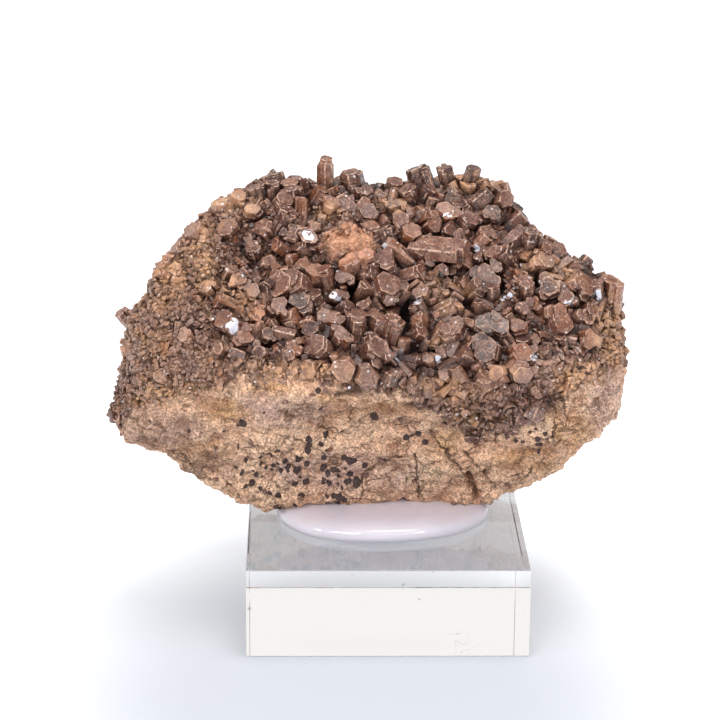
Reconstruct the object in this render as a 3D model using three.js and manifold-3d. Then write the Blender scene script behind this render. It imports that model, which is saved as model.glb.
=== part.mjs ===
// A vanadinite specimen: a lump of buff matrix rock whose upper front slope carries a crust of brown hexagonal
// crystals, set with a pad of white hot-melt glue on a clear square display block.
// Millimetres, +X to the right of the display side, +Y away from it, +Z up.
// The origin is the middle of the block's underside.
import * as THREE from "three";
import { mergeVertices } from "three/addons/utils/BufferGeometryUtils.js";
import Module from "manifold-3d";

const wasm = await Module();
wasm.setup();

// Driving sizes
const block = { width: 50.8, depth: 50.8, height: 16.5, chamfer: 0.5 };
const pad = {
  halfWidth: 19.8,
  halfDepth: 13.6,
  rise: 3.1,
  x: -0.6,
  y: 2,
  fullness: 2.6, // how steep the rim is
  spacing: 0.7, // how the rings crowd towards the rim
  waves: [{ count: 3, height: 0.02, shift: 1 }, { count: 5, height: 0.015, shift: 0 }], // unevenness of the rim
  rings: 4,
  sides: 32,
};
const rock = {
  middle: new THREE.Vector3(-3, 7.7, 44.2), // middle of the outline
  viewTilt: 17.5, // degrees the display side is seen from above
  underside: 18.4, // height of the broken base, inside the glue
  sharpness: 22, // how crisply the broken faces meet
  detail: 7, // subdivisions of the starting ball
  spread: new THREE.Vector3(47, 33, 21), // starting ball, about as long, high and deep as the rock
  recess: 2.4, // how far the rock lies back under the crystals
  roughness: [{ size: 11, height: 1.5 }, { size: 4.5, height: 0.7 }],
  frontFade: [-6, 2], // depths between which the display side's lumps fade in
};
const eye = new THREE.Vector3(-12.8, 0, 509.7); // where the display side is looked at from, in the rock's frame
const joint = 0.35; // clear gap kept between touching pieces
const crust = {
  thickness: 1.2,
  sunk: 1.5, // how far it lies under the bare rock's surface
  edgeFade: [-0.5, 2.5], // heights over its lower edge between which it thickens
  backFade: [-13, -9], // depths between which it thickens, behind the top edge
};
const crystalSides = 6;
const fill = {
  most: 24,
  tries: 2600,
  minimumCover: 0.6,
  depths: [-14, 10], // from the back, where few grow, to the front
  spacing: 0.68, // gap between middles, as a share of the two widths
  across: [2.5, 3.7],
  slimness: [1, 1.5], // length over width
  scatter: 1.8,
};
const search = { from: 0.85, to: 1.06, step: 0.001 }; // shares of the eye's distance
const mergeWithin = 1e-4;

// The display outline of the rock, [right, up] from its middle, anticlockwise from the right end
const outline = [
  [47, 3.5], [46.4, 12], [44.2, 16.8], [38.6, 18.6], [33, 21.8], [27.4, 26.6], [24.8, 31.4], [20.8, 35.2],
  [12.6, 34], [2.8, 33.4], [-8.4, 34], [-17.4, 34], [-22.4, 32.2], [-28.4, 29.8], [-32.8, 26.4], [-35.8, 21],
  [-40.4, 15.8], [-46, 9.8], [-47.6, 2.6], [-47.4, -2], [-49.4, -8.6], [-47.4, -13.8], [-40.6, -15.8],
  [-34.8, -17.6], [-30.6, -22], [-24.4, -26.6], [-20, -29.6], [-13, -29], [4, -28], [18, -28.6], [24, -25.4],
  [31.6, -21.2], [37.4, -15.8], [42.8, -12.2], [45.6, -7.6], [47.2, -1],
];

// The broken faces that cut the rock: degrees the face looks up from the viewer, degrees it looks to the right,
// and its distance from the middle
const brokenFaces = [
  { up: 30, right: 2, out: 18.6 }, // the slope that the crystals grow on
  { up: -47, right: 0, out: 18.4 }, // the bare face under it
  { up: -4, right: 50, out: 41 },
  { up: 6, right: -50, out: 43 },
  { up: -34, right: -40, out: 38 },
  { up: 26, right: 172, out: 25 },
  { up: -22, right: 190, out: 20 },
  { up: 5, right: 236, out: 38 },
  { up: 8, right: 128, out: 39 },
];

// Hollows and lumps of the display side: where, how far across, and how far in or out
const lumps = [
  { right: -3, up: 14, across: 5, out: -2 },
  { right: 6.5, up: 9.5, across: 5, out: -1.8 },
  { right: 20.5, up: 18.8, across: 5, out: -2 },
  { right: 26.6, up: 6.7, across: 4.5, out: -1.6 },
  { right: -18.6, up: 25.3, across: 4.5, out: -1.6 },
  { right: 14, up: 21, across: 7, out: 1.2 },
  { right: 33, up: -11, across: 11, out: 2.4 }, // the lobe at the lower right
  { right: 27, up: -6.5, across: 5, out: -2.6 }, // the groove above it
  { right: 22, up: -10.5, across: 4, out: -2.4 },
  { right: 18.5, up: -22, across: 4, out: -2.2 }, // the gap at the foot of the lobe
  { right: -17, up: -26, across: 8, out: 4.2 }, // the foot of the left side
  { right: 18, up: -25, across: 7, out: 3 },
  { right: -26, up: -13, across: 12, out: 1.2 },
  { right: 5, up: -15, across: 9, out: -0.8 },
];

// The lower edge of the crystals, [right, up]
const crustEdge = [
  [-52, -11], [-44.7, -10], [-37.2, -6.3], [-31.6, -5.4], [-26, -3.5], [-14.9, -2.6], [-3.7, -4.5], [5.6, -5.4],
  [11.2, -8.2], [18.6, -11.4], [24.2, -9], [29.8, -6.3], [34.4, -3.5], [40.9, -1.7], [52, 2],
];

// The larger crystals, by the place where each is seen: [right, up, width across, length, degrees the
// crystal's axis points up, degrees it points to the right, turn about the axis]
const largeCrystals = [
  [-8.2, 34.2, 3.6, 8.4, 66, 0, 20], [-10, 31, 3, 5, 55, 50, 0], [-3.3, 34, 4, 5, 62, -20, 10],
  [-14, 31, 3.2, 5, 60, -20, 40], [-1, 31.5, 2.8, 4, 40, 20, 0], [9.4, 33.8, 4, 6.5, 68, -60, 15],
  [4.3, 32.7, 3.4, 4.5, 60, 10, 30], [7.4, 31.4, 3.2, 4.5, 48, -30, 0], [10.8, 31.4, 2.8, 4.5, 50, 40, 5],
  [14.6, 34.8, 2.8, 5, 62, -30, 25], [19, 35, 3.2, 4.5, 60, 30, 0], [22.5, 32.4, 2.8, 4, 40, 50, 20],
  [6.7, 26.6, 4.6, 5, 14, -28, 8], [11.1, 25.6, 4.2, 5, 20, 26, 30], [14.2, 27.8, 4, 5, 35, 0, 12],
  [18.3, 29, 2.4, 4, 30, -40, 0], [22, 27.8, 3.4, 5, 22, 10, 0], [17.8, 26.2, 4, 5, 40, 30, 20],
  [14.2, 24.9, 2.8, 4, 10, 30, 0], [26, 28.8, 3, 4, 40, 40, 10], [29.6, 24.4, 3, 4, 30, 30, 40],
  [44.8, 13.6, 4, 6, 60, 10, 10], [42.2, 13.6, 3.2, 5, 50, -10, 0], [39, 14.2, 4.4, 5.5, 22, 40, 20],
  [37.2, 12, 3.4, 5, 30, -20, 0], [39.6, 8.6, 3.6, 5, 20, 30, 25], [40.2, 4.6, 3.4, 4.5, 0, 30, 0],
  [-24.2, 15.1, 3, 4.5, 24, -16, 5], [-21.8, 13.6, 3.2, 4.5, 12, 10, 0], [-21.4, 20.8, 3.4, 4.5, 40, -20, 30],
  [-19.2, 18.8, 3.2, 4.5, 20, 20, 40], [-16.4, 21.8, 2.6, 4, 30, -50, 0], [-13, 17.2, 3.2, 5, 40, 40, 10],
  [-15, 14.2, 5.4, 6.5, 18, -34, 0], [-17, 10.2, 3.6, 5, 30, 10, 20], [-15.2, 8.6, 3, 5, 10, 40, 0],
  [-12.8, 11, 4.4, 5.5, 34, -8, 15], [-21.6, 8.8, 2.6, 4.5, 26, 30, 0], [-25.6, 7.4, 4.4, 6, 34, -42, 0],
  [-22.8, 6.6, 4, 5.5, -6, 26, 20], [-26.4, 11.2, 2.8, 5, 20, -60, 0], [-10.2, 15.6, 4, 5.5, 50, 16, 20],
  [-7.6, 15.4, 3.2, 6.5, 58, -34, 0], [-6.2, 12.6, 3.2, 5, 20, 20, 10], [-2.4, 18.8, 5.2, 5, 42, -14, 25],
  [-6.6, 20, 4, 5, 50, 30, 0], [-4.6, 16.2, 3.6, 4.5, 14, -10, 10], [-0.4, 13.6, 3.4, 5, 46, 30, 15],
  [2.4, 14.4, 5.2, 6, 24, 24, 0], [3.5, 19, 4.2, 5, 36, -20, 20], [0, 17.4, 3.2, 4.5, 10, 40, 0],
  [-9.8, 11.4, 3.8, 5, 50, -30, 30], [-5, 10, 3, 5, 30, 40, 0], [13.4, 20.8, 4.6, 9.5, -6, 70, 0],
  [16.8, 19.6, 4.2, 5, 8, 40, 12], [19.9, 22, 3, 7, 40, 56, 0], [17.6, 23.6, 2.8, 4.5, 20, -30, 15],
  [22.6, 19.8, 4.2, 5.5, 40, -30, 10], [22.1, 16.8, 4.4, 5.5, 12, -8, 25], [20, 13.8, 3.4, 5, 30, 30, 0],
  [14, 10.4, 3, 5, 24, 60, 0], [9.6, 12.2, 3, 4.5, 40, -20, 0], [29.7, 22, 3.6, 7, 62, 20, 12],
  [26.2, 19.6, 4, 6, 40, -46, 0], [32, 18.8, 4.2, 5, 30, 30, 30], [29.2, 13.8, 3.8, 6.5, 52, -12, 0],
  [28.8, 10.6, 3.4, 5, 10, 10, 20], [34.2, 13.8, 4.8, 5.5, 22, -18, 10], [34.4, 9.8, 3.8, 5, 12, 30, 0],
  [31.4, 10.6, 3.2, 4.5, 30, -30, 20], [27.6, 15.8, 2.4, 4.5, 60, 30, 0], [35, 20.8, 3.4, 4, 30, 20, 0],
  [-6.4, 8.2, 4.4, 5, 18, -14, 30], [-2.4, 7.2, 3.6, 6, 58, 10, 0], [-0.6, 10, 2.8, 4.5, 40, -20, 0],
  [-8.8, 2.6, 4.6, 5.5, 30, -36, 12], [-4.8, 0, 4.6, 7, -14, -6, 0], [-0.6, -2, 5.4, 5.5, -6, 8, 20],
  [0.8, 2.4, 4.8, 5.5, 20, 30, 0], [3.4, 5.8, 4.4, 7.5, 60, 24, 10], [3.2, -2, 3, 4.5, -20, 40, 0],
  [-5.6, 4.6, 3.4, 4.5, 40, 16, 20], [-9.8, 0.2, 3.4, 5, -10, -40, 0], [-10, 5.8, 3.6, 5, 30, -20, 15],
  [-13.4, 3, 3.6, 5, 10, -20, 0], [21.8, 6.6, 5, 5.5, 30, 4, 25], [22.4, 2.4, 4.8, 5.5, 12, -24, 0],
  [27.8, 1.6, 3.6, 5, 20, 20, 20], [28.2, -1.4, 4, 5, -12, 10, 0], [28.2, 6, 3.4, 5, 40, -10, 10],
  [35.2, 6.8, 4.4, 5, 24, 20, 0], [24.6, -1.4, 3.4, 5, 0, -30, 15], [16.4, 6, 3.8, 5, 30, -20, 0],
  [-19.3, 24.6, 4, 5, 36, -24, 10], [-16.6, 27.8, 4.4, 5, 50, 40, 0], [-17.9, 32.2, 3, 4.5, 60, -10, 20],
  [-15.1, 23.4, 3.2, 4.5, 20, 20, 0], [-12.6, 20.8, 2.8, 4, 44, -40, 15], [-22, 27.8, 3.6, 4.5, 40, 10, 0],
  [-31.2, 24.4, 3.4, 4, 40, -50, 20], [-27.6, 29, 3, 3.6, 60, -20, 0], [-24.2, 30.2, 3.2, 4, 50, 10, 30],
  [-20.8, 31.6, 3, 4, 60, -40, 0], [-35, 21, 2.6, 3.4, 30, -60, 0], [-38.4, 16.4, 2.6, 3.4, 30, -50, 30],
  [-33.9, 4.8, 2.6, 4, 30, -20, 0], [-23, 4.6, 3.6, 4.5, 20, 0, 10], [-26.8, 2.6, 2.6, 4, 20, -40, 20],
  [-20.8, 2.4, 3.2, 4, 0, 10, 0], [-45.2, 8.8, 2.8, 3.6, 40, -50, 0], [-46, -9, 3, 3, -10, -50, 20],
  [-27.5, -2.8, 2.6, 3.6, 10, 10, 0], [-29.5, 14, 3, 4, 30, -30, 20], [-38, -2, 3, 3.6, 10, -30, 0],
];

const radians = THREE.MathUtils.degToRad;
const { lerp, smoothstep } = THREE.MathUtils;
const rockTurn = new THREE.Matrix4().makeRotationX(radians(90 - rock.viewTilt));
const toWorld = new THREE.Matrix4().makeTranslation(rock.middle).multiply(rockTurn);

// A direction in the rock's own frame: x right, y up the outline, z towards the viewer
function facing(up, right) {
  const [a, b] = [radians(up), radians(right)];
  return new THREE.Vector3(Math.cos(a) * Math.sin(b), Math.sin(a), Math.cos(a) * Math.cos(b));
}

const down = new THREE.Vector3(0, -Math.cos(radians(rock.viewTilt)), -Math.sin(radians(rock.viewTilt)));
const cuts = brokenFaces.map(({ up, right, out }) => ({ normal: facing(up, right), out }));
cuts.push({ normal: down, out: rock.middle.z - rock.underside });

// The outline as a radius for each angle
const corners = outline
  .map(([x, y]) => ({ angle: Math.atan2(y, x), radius: Math.hypot(x, y) }))
  .sort((a, b) => a.angle - b.angle);

function outlineRadius(angle) {
  const turn = 2 * Math.PI;
  const after = Math.max(0, corners.findIndex((c) => c.angle > angle));
  const next = corners[after];
  const last = corners[(after + corners.length - 1) % corners.length];
  const span = (next.angle - last.angle + turn) % turn;
  const along = (angle - last.angle + turn) % turn;
  return lerp(last.radius, next.radius, along / span);
}

// A repeatable number from 0 to 1 for whole numbers i, j and k
function chance(i, j, k) {
  const s = Math.sin(i * 127.1 + j * 311.7 + k * 74.7) * 43758.5453;
  return s - Math.floor(s);
}

// Smooth noise from -1 to 1, with lumps about one cell across
function noise(point, cell) {
  const p = point.clone().divideScalar(cell);
  const [i, j, k] = [p.x, p.y, p.z].map(Math.floor);
  const [a, b, c] = [p.x - i, p.y - j, p.z - k].map((t) => t * t * (3 - 2 * t));
  let sum = 0;
  for (let corner = 0; corner < 8; corner++) {
    const [di, dj, dk] = [corner & 1, (corner >> 1) & 1, corner >> 2];
    const share = (di ? a : 1 - a) * (dj ? b : 1 - b) * (dk ? c : 1 - c);
    sum += share * (2 * chance(i + di, j + dj, k + dk) - 1);
  }
  return sum;
}

// Distance from the rock's middle to its surface along a direction, before the lumps
function plainRadius(direction) {
  const flat = Math.hypot(direction.x, direction.y);
  let sum = (flat / outlineRadius(Math.atan2(direction.y, direction.x))) ** rock.sharpness;
  for (const { normal, out } of cuts) sum += Math.max(0, normal.dot(direction) / out) ** rock.sharpness;
  return sum ** (-1 / rock.sharpness);
}

function crustEdgeUp(right) {
  const next = crustEdge.findIndex(([x]) => x > right);
  const [[x0, y0], [x1, y1]] = crustEdge.slice(next - 1, next + 1);
  return lerp(y0, y1, (right - x0) / (x1 - x0));
}

// How far a place on the rock is inside the crystal zone: 0 outside, 1 well inside
function cover(place) {
  const above = smoothstep(place.y - crustEdgeUp(place.x), ...crust.edgeFade);
  return above * smoothstep(place.z, ...crust.backFade);
}

function lumpHeight(place) {
  let sum = 0;
  for (const { right, up, across, out } of lumps) {
    const away = Math.hypot(place.x - right, place.y - up) / across;
    sum += out * Math.exp(-3 * away * away);
  }
  return sum * smoothstep(place.z, ...rock.frontFade);
}

function rockRadius(direction) {
  const plain = plainRadius(direction);
  const at = direction.clone().multiplyScalar(plain);
  const rough = rock.roughness.reduce((sum, { size, height }) => sum + height * noise(at, size), 0);
  return plain + rough + lumpHeight(at) - rock.recess * cover(at);
}

// The crust's outside over the crystal zone, sinking under the rock's surface elsewhere
function crustRadius(direction) {
  const radius = rockRadius(direction);
  const covered = cover(direction.clone().multiplyScalar(radius));
  return radius + lerp(-crust.sunk, joint + crust.thickness, covered);
}

// A closed solid around the rock's middle, from a function that gives its radius along each direction
function ballGeometry(radiusAlong) {
  const ball = new THREE.IcosahedronGeometry(1, rock.detail);
  ball.deleteAttribute("normal");
  ball.deleteAttribute("uv");
  const made = mergeVertices(ball, mergeWithin);
  const places = made.getAttribute("position");
  const direction = new THREE.Vector3();
  for (let i = 0; i < places.count; i++) {
    direction.fromBufferAttribute(places, i).multiply(rock.spread).normalize();
    const p = direction.multiplyScalar(radiusAlong(direction.clone()));
    places.setXYZ(i, p.x, p.y, p.z);
  }
  return made.applyMatrix4(toWorld);
}

function toSolid(geometry) {
  const bare = geometry.clone();
  bare.deleteAttribute("normal");
  bare.deleteAttribute("uv");
  const merged = mergeVertices(bare, mergeWithin);
  const vertProperties = merged.getAttribute("position").array;
  const triVerts = new Uint32Array(merged.index.array);
  return new wasm.Manifold(new wasm.Mesh({ numProp: 3, vertProperties, triVerts }));
}

function toGeometry(solid) {
  const { numProp, vertProperties, triVerts } = solid.getMesh();
  const geometry = new THREE.BufferGeometry();
  geometry.setAttribute("position", new THREE.BufferAttribute(new Float32Array(vertProperties), numProp));
  geometry.setIndex(new THREE.BufferAttribute(new Uint32Array(triVerts), 1));
  return geometry;
}

// The largest of the bodies that a cut leaves
function mainBody(solid) {
  return solid.decompose().reduce((best, body) => (body.volume() > best.volume() ? body : best));
}

// The place on the crust seen at [right, up], in the rock's frame
function seenAt(right, up) {
  const sight = new THREE.Vector3(right, up, 0).sub(eye);
  for (let along = search.from; along < search.to; along += search.step) {
    const place = eye.clone().addScaledVector(sight, along);
    if (place.length() < crustRadius(place.clone().normalize())) return place;
  }
  return eye.clone().add(sight);
}

// A six-sided prism centred on a place in the rock's frame
function crystalSolid({ place, axis, across, length, turn }) {
  const prism = new THREE.CylinderGeometry(across / 2, across / 2, length, crystalSides);
  prism.rotateY(radians(turn));
  prism.applyQuaternion(new THREE.Quaternion().setFromUnitVectors(new THREE.Vector3(0, 1, 0), axis));
  prism.translate(place.x, place.y, place.z);
  return toSolid(prism.applyMatrix4(toWorld));
}

const crystals = largeCrystals.map(([right, up, across, length, axisUp, axisRight, turn]) => ({
  place: seenAt(right, up),
  axis: facing(axisUp, axisRight),
  across,
  length,
  turn,
}));

// Smaller crystals fill the rest of the zone at random, each clear of those already there
const wanted = crystals.length + fill.most;
for (let i = 0; i < fill.tries && crystals.length < wanted; i++) {
  const height = 2 * chance(i, 1, 1) - 1;
  const angle = 2 * Math.PI * chance(i, 2, 1);
  const flat = Math.sqrt(1 - height * height);
  const direction = new THREE.Vector3(flat * Math.cos(angle), height, flat * Math.sin(angle));
  direction.multiply(rock.spread).normalize();
  const place = direction.clone().multiplyScalar(crustRadius(direction));
  const across = lerp(...fill.across, chance(i, 3, 1));
  if (cover(place) < fill.minimumCover || chance(i, 9, 1) > smoothstep(place.z, ...fill.depths)) continue;
  if (crystals.some((c) => c.place.distanceTo(place) < fill.spacing * (c.across + across))) continue;
  const scatter = new THREE.Vector3(chance(i, 4, 1), chance(i, 5, 1), chance(i, 6, 1)).subScalar(0.5);
  const axis = direction.clone().addScaledVector(scatter, fill.scatter).normalize();
  const length = across * lerp(...fill.slimness, chance(i, 7, 1));
  crystals.push({ place, axis, across, length, turn: 60 * chance(i, 8, 1) });
}

const matrixGeometry = ballGeometry(rockRadius);
const clearance = toSolid(ballGeometry((direction) => rockRadius(direction) + joint));
let grown = toSolid(ballGeometry(crustRadius));
for (const crystal of crystals) grown = grown.add(crystalSolid(crystal));
const crustGeometry = toGeometry(mainBody(grown.subtract(clearance)));

// The glue pad: a flat-based blob with a rounded rim
function padGeometry() {
  const places = [0, 0, 0];
  const faces = [];
  for (let ring = 0; ring <= pad.rings; ring++) {
    const inward = Math.cos((ring / (pad.rings + 1)) * (Math.PI / 2)) ** pad.spacing;
    const rise = pad.rise * (1 - inward ** pad.fullness) ** (1 / pad.fullness);
    for (let side = 0; side < pad.sides; side++) {
      const angle = (2 * Math.PI * side) / pad.sides;
      const uneven = pad.waves.reduce((sum, w) => sum + w.height * Math.sin(w.count * angle + w.shift), 1);
      const reach = inward * uneven;
      places.push(pad.halfWidth * reach * Math.cos(angle), pad.halfDepth * reach * Math.sin(angle), rise);
    }
  }
  places.push(0, 0, pad.rise);
  const top = 1 + pad.sides * (pad.rings + 1);
  for (let side = 0; side < pad.sides; side++) {
    const beside = (side + 1) % pad.sides;
    faces.push(0, 1 + beside, 1 + side);
    for (let ring = 0; ring < pad.rings; ring++) {
      const [a, b] = [1 + ring * pad.sides + side, 1 + ring * pad.sides + beside];
      faces.push(a, b, b + pad.sides, a, b + pad.sides, a + pad.sides);
    }
    faces.push(1 + pad.rings * pad.sides + side, 1 + pad.rings * pad.sides + beside, top);
  }
  const geometry = new THREE.BufferGeometry();
  geometry.setAttribute("position", new THREE.Float32BufferAttribute(places, 3));
  geometry.setIndex(faces);
  return geometry.translate(pad.x, pad.y, block.height);
}
const glueGeometry = toGeometry(mainBody(toSolid(padGeometry()).subtract(clearance)));

// The block, with every edge chamfered
function blockGeometry() {
  const { width, depth, height, chamfer } = block;
  const [x, y, c] = [width / 2 - chamfer, depth / 2 - chamfer, chamfer];
  const plan = new THREE.Shape();
  plan.moveTo(x, -y);
  plan.lineTo(x, y);
  plan.lineTo(-x, y);
  plan.lineTo(-x, -y);
  const made = new THREE.ExtrudeGeometry(plan, {
    depth: height - 2 * c,
    bevelThickness: c,
    bevelSize: c,
    bevelSegments: 1,
  });
  return made.translate(0, 0, c);
}

function part(name, geometry, color, roughness) {
  const mesh = new THREE.Mesh(geometry, new THREE.MeshStandardMaterial({ color, roughness, metalness: 0 }));
  mesh.name = name;
  return mesh;
}

const specimen = new THREE.Group();
specimen.add(part("matrix", matrixGeometry, 0xc19a78, 0.95));
specimen.add(part("crystal_crust", crustGeometry, 0x8b6a5c, 0.45));
specimen.add(part("glue_pad", glueGeometry, 0xe6e2ea, 0.2));
specimen.add(part("display_block", blockGeometry(), 0xf2f2f0, 0.05));

export default specimen;
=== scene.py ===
# A vanadinite specimen set in glue on a clear display block, dressed for rendering.
import math
import bmesh
import bpy
import numpy as np
from mathutils import Matrix, Vector, noise
from mathutils.bvhtree import BVHTree


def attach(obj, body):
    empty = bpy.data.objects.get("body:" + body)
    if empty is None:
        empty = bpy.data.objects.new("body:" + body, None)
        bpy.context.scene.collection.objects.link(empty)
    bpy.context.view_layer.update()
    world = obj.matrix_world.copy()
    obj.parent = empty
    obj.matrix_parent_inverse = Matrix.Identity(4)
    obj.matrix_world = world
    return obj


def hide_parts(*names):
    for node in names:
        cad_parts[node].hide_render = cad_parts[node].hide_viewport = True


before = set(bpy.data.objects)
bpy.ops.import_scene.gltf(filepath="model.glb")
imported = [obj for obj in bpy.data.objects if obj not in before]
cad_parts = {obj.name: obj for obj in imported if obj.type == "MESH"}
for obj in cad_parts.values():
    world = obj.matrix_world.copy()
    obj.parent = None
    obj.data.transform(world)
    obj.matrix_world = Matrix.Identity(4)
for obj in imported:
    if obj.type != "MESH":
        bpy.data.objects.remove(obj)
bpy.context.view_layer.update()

mm = 0.001
scene = bpy.context.scene


def addObject(name, data):
    made = bpy.data.objects.new(name, data)
    scene.collection.objects.link(made)
    return made


def finishedMesh(holder):  # the mesh with its modifiers done; the object that held it goes
    ready = holder.evaluated_get(bpy.context.evaluated_depsgraph_get())
    made = bpy.data.meshes.new_from_object(ready)
    bpy.data.objects.remove(holder)
    return made


def smoothShaded(mesh):
    mesh.polygons.foreach_set("use_smooth", np.ones(len(mesh.polygons), dtype=bool))


# camera and lamps
photoCamera = {
    "place": (-15.76, -478.34, 197.68),  # mm
    "down": 17.396,  # degrees
    "right": 1.309,
    "roll": 0.455,
    "lens": 136.81,
    "sensor": 36,
    "picture": 720,  # pixels across
    "farthest": 20,  # metres
}


def cameraAxes(s):
    down, right, roll = (math.radians(s[k]) for k in ("down", "right", "roll"))
    level = Vector((math.sin(right), math.cos(right), 0))
    forward = level * math.cos(down) - Vector((0, 0, math.sin(down)))
    side = Vector((level.y, -level.x, 0))
    up = side.cross(forward)
    return (
        math.cos(roll) * side + math.sin(roll) * up,
        -math.sin(roll) * side + math.cos(roll) * up,
        forward,
    )


def addCamera(s):
    side, up, forward = cameraAxes(s)
    data = bpy.data.cameras.new("photoCamera")
    data.lens = s["lens"]
    data.sensor_width = s["sensor"]
    data.clip_end = s["farthest"]
    camera = addObject("photoCamera", data)
    turn = Matrix((side, up, -forward)).transposed().to_4x4()
    camera.matrix_world = Matrix.Translation(Vector(s["place"]) * mm) @ turn
    scene.camera = camera


addCamera(photoCamera)


def pixelsOf(points):  # where points in mm fall in the picture
    side, up, forward = (np.array(a) for a in cameraAxes(photoCamera))
    away = points - np.array(photoCamera["place"])
    scale = photoCamera["lens"] / photoCamera["sensor"] * photoCamera["picture"] / (away @ forward)
    half = photoCamera["picture"] / 2
    return half + scale * (away @ side), half - scale * (away @ up)


lighting = {
    "behindColour": (0.95, 0.925, 0.895),  # of the white sheet behind
    "roundColour": (0.42, 0.43, 0.45),
    "behindFrom": (0.25, 0.65),
    "overheadFrom": (0.40, 0.62),
    "aim": (0, 0, 0.045),
    # name: place, width and height, strength in W, colour; each looks at the aim
    "lamps": {
        "topSoftbox": ((0.10, -0.06, 0.85), (0.42, 0.42), 4.0, (1.0, 0.99, 0.97)),
        "frontFill": ((0.10, -0.95, 0.30), (0.60, 0.60), 0.3, (1.0, 0.985, 0.96)),
        "leftWindow": ((-0.36, -0.72, 0.74), (0.46, 0.24), 4.0, (1.0, 1.0, 1.0)),
        "rightWindow": ((0.42, -0.68, 0.64), (0.14, 0.14), 0.9, (1.0, 1.0, 1.0)),
        "rightStrip": ((0.20, -0.80, 0.60), (0.24, 0.10), 0.9, (1.0, 1.0, 1.0)),
        "leftStrip": ((-0.72, -0.36, 0.60), (0.18, 0.18), 1.4, (1.0, 1.0, 1.0)),
    },
}


def addLight(name, place, size, strength, colour):
    data = bpy.data.lights.new(name, "AREA")
    data.shape = "RECTANGLE"
    data.size, data.size_y = size
    data.energy = strength
    data.color = colour
    lamp = addObject(name, data)
    lamp.location = place
    lamp.rotation_euler = (Vector(lighting["aim"]) - Vector(place)).to_track_quat("-Z", "Y").to_euler()


for lampName, lampValues in lighting["lamps"].items():
    addLight(lampName, *lampValues)

scene.view_settings.view_transform = "Standard"
print("camera and lights ready")


# nodes of materials and groups


def addNode(tree, kind, inputs=None, **settings):
    made = tree.nodes.new(kind)
    for name, value in settings.items():
        setattr(made, name, value)
    setInputs(tree, made, inputs or {})
    return made


def setInputs(tree, node, values):  # each a value, or another node's output to link
    for name, value in values.items():
        if isinstance(value, bpy.types.NodeSocket):
            tree.links.new(value, node.inputs[name])
        else:
            node.inputs[name].default_value = value


def newGroup(name, kind, inputs, outputs):  # an empty group with its sockets, its start and its end
    group = bpy.data.node_groups.new(name, kind)
    for way, sockets in (("INPUT", inputs), ("OUTPUT", outputs)):
        for label, socket in sockets.items():
            group.interface.new_socket(name=label, in_out=way, socket_type="NodeSocket" + socket)
    return group, addNode(group, "NodeGroupInput").outputs, addNode(group, "NodeGroupOutput")


def newMaterial(name):
    made = bpy.data.materials.new(name)
    made.use_nodes = True
    tree = made.node_tree
    tree.nodes.clear()
    output = addNode(tree, "ShaderNodeOutputMaterial")
    shader = addNode(tree, "ShaderNodeBsdfPrincipled")
    tree.links.new(shader.outputs["BSDF"], output.inputs["Surface"])
    return made, tree, shader


def mixColours(tree, factor, first, second, blend="MIX"):
    first, second = ((*c, 1) if isinstance(c, tuple) else c for c in (first, second))
    inputs = {0: factor, 6: first, 7: second}
    return addNode(tree, "ShaderNodeMix", inputs, data_type="RGBA", blend_type=blend).outputs[2]


def toned(tree, colour, by):
    return mixColours(tree, 1.0, colour, by, "MULTIPLY")


def coated(tree, colour, *coats):  # one over the other: its mask, its strength and its colour
    for mask, strength, own in coats:
        colour = mixColours(tree, times(tree, mask, strength), colour, own)
    return colour


def calculate(tree, operation, first, second=0.0, clamp=False):
    made = addNode(tree, "ShaderNodeMath", {0: first, 1: second}, operation=operation, use_clamp=clamp)
    return made.outputs[0]


def times(tree, first, second):
    return calculate(tree, "MULTIPLY", first, second)


def plus(tree, value, other, strength=1.0, clamp=False):
    return calculate(tree, "ADD", value, times(tree, other, strength), clamp)


def swayed(tree, value, other, strength, clamp=False):  # moved up and down by a noise about its middle
    return plus(tree, value, calculate(tree, "SUBTRACT", other, 0.5), strength, clamp)


def remap(tree, value, low, high, toLow=0.0, toHigh=1.0):
    made = addNode(tree, "ShaderNodeMapRange", {
        "Value": value, "From Min": low, "From Max": high, "To Min": toLow, "To Max": toHigh,
    }, interpolation_type="SMOOTHSTEP")
    return made.outputs["Result"]


def attribute(tree, name):
    return addNode(tree, "ShaderNodeAttribute", attribute_name=name).outputs["Fac"]


def noiseValue(tree, place, size, detail=3.0, roughness=0.55, distortion=0.0):
    made = addNode(tree, "ShaderNodeTexNoise", {
        "Vector": place, "Scale": 1 / (size * mm), "Detail": detail,
        "Roughness": roughness, "Distortion": distortion,
    })
    return made.outputs["Fac"]


def warped(tree, place, size, strength):  # the place shifted by a noise in colours
    wisps = addNode(tree, "ShaderNodeTexNoise", {"Vector": place, "Scale": 1 / (size * mm), "Detail": 3.0})
    return mixColours(tree, strength, place, wisps.outputs["Color"], "ADD")


def cellColours(tree, place, size):  # a random colour in each cell, as its red, green and blue
    cells = addNode(tree, "ShaderNodeTexVoronoi", {"Vector": place, "Scale": 1 / (size * mm)})
    return addNode(tree, "ShaderNodeSeparateColor", {"Color": cells.outputs["Color"]}).outputs


def netOfLines(tree, place, size, inside, outside):  # 1 on the borders between cells
    cells = {"Vector": place, "Scale": 1 / (size * mm)}
    net = addNode(tree, "ShaderNodeTexVoronoi", cells, feature="DISTANCE_TO_EDGE")
    return remap(tree, net.outputs["Distance"], inside, outside, 1.0, 0.0)


def distanceTo(tree, place, middle):
    away = addNode(tree, "ShaderNodeVectorMath", {0: place, 1: middle}, operation="DISTANCE")
    return away.outputs["Value"]


def objectPlace(tree):
    return addNode(tree, "ShaderNodeTexCoord").outputs["Object"]


def bumped(tree, shader, height, strength, distance):
    bump = {"Strength": strength, "Distance": distance * mm, "Height": height}
    setInputs(tree, shader, {"Normal": addNode(tree, "ShaderNodeBump", bump).outputs["Normal"]})


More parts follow.
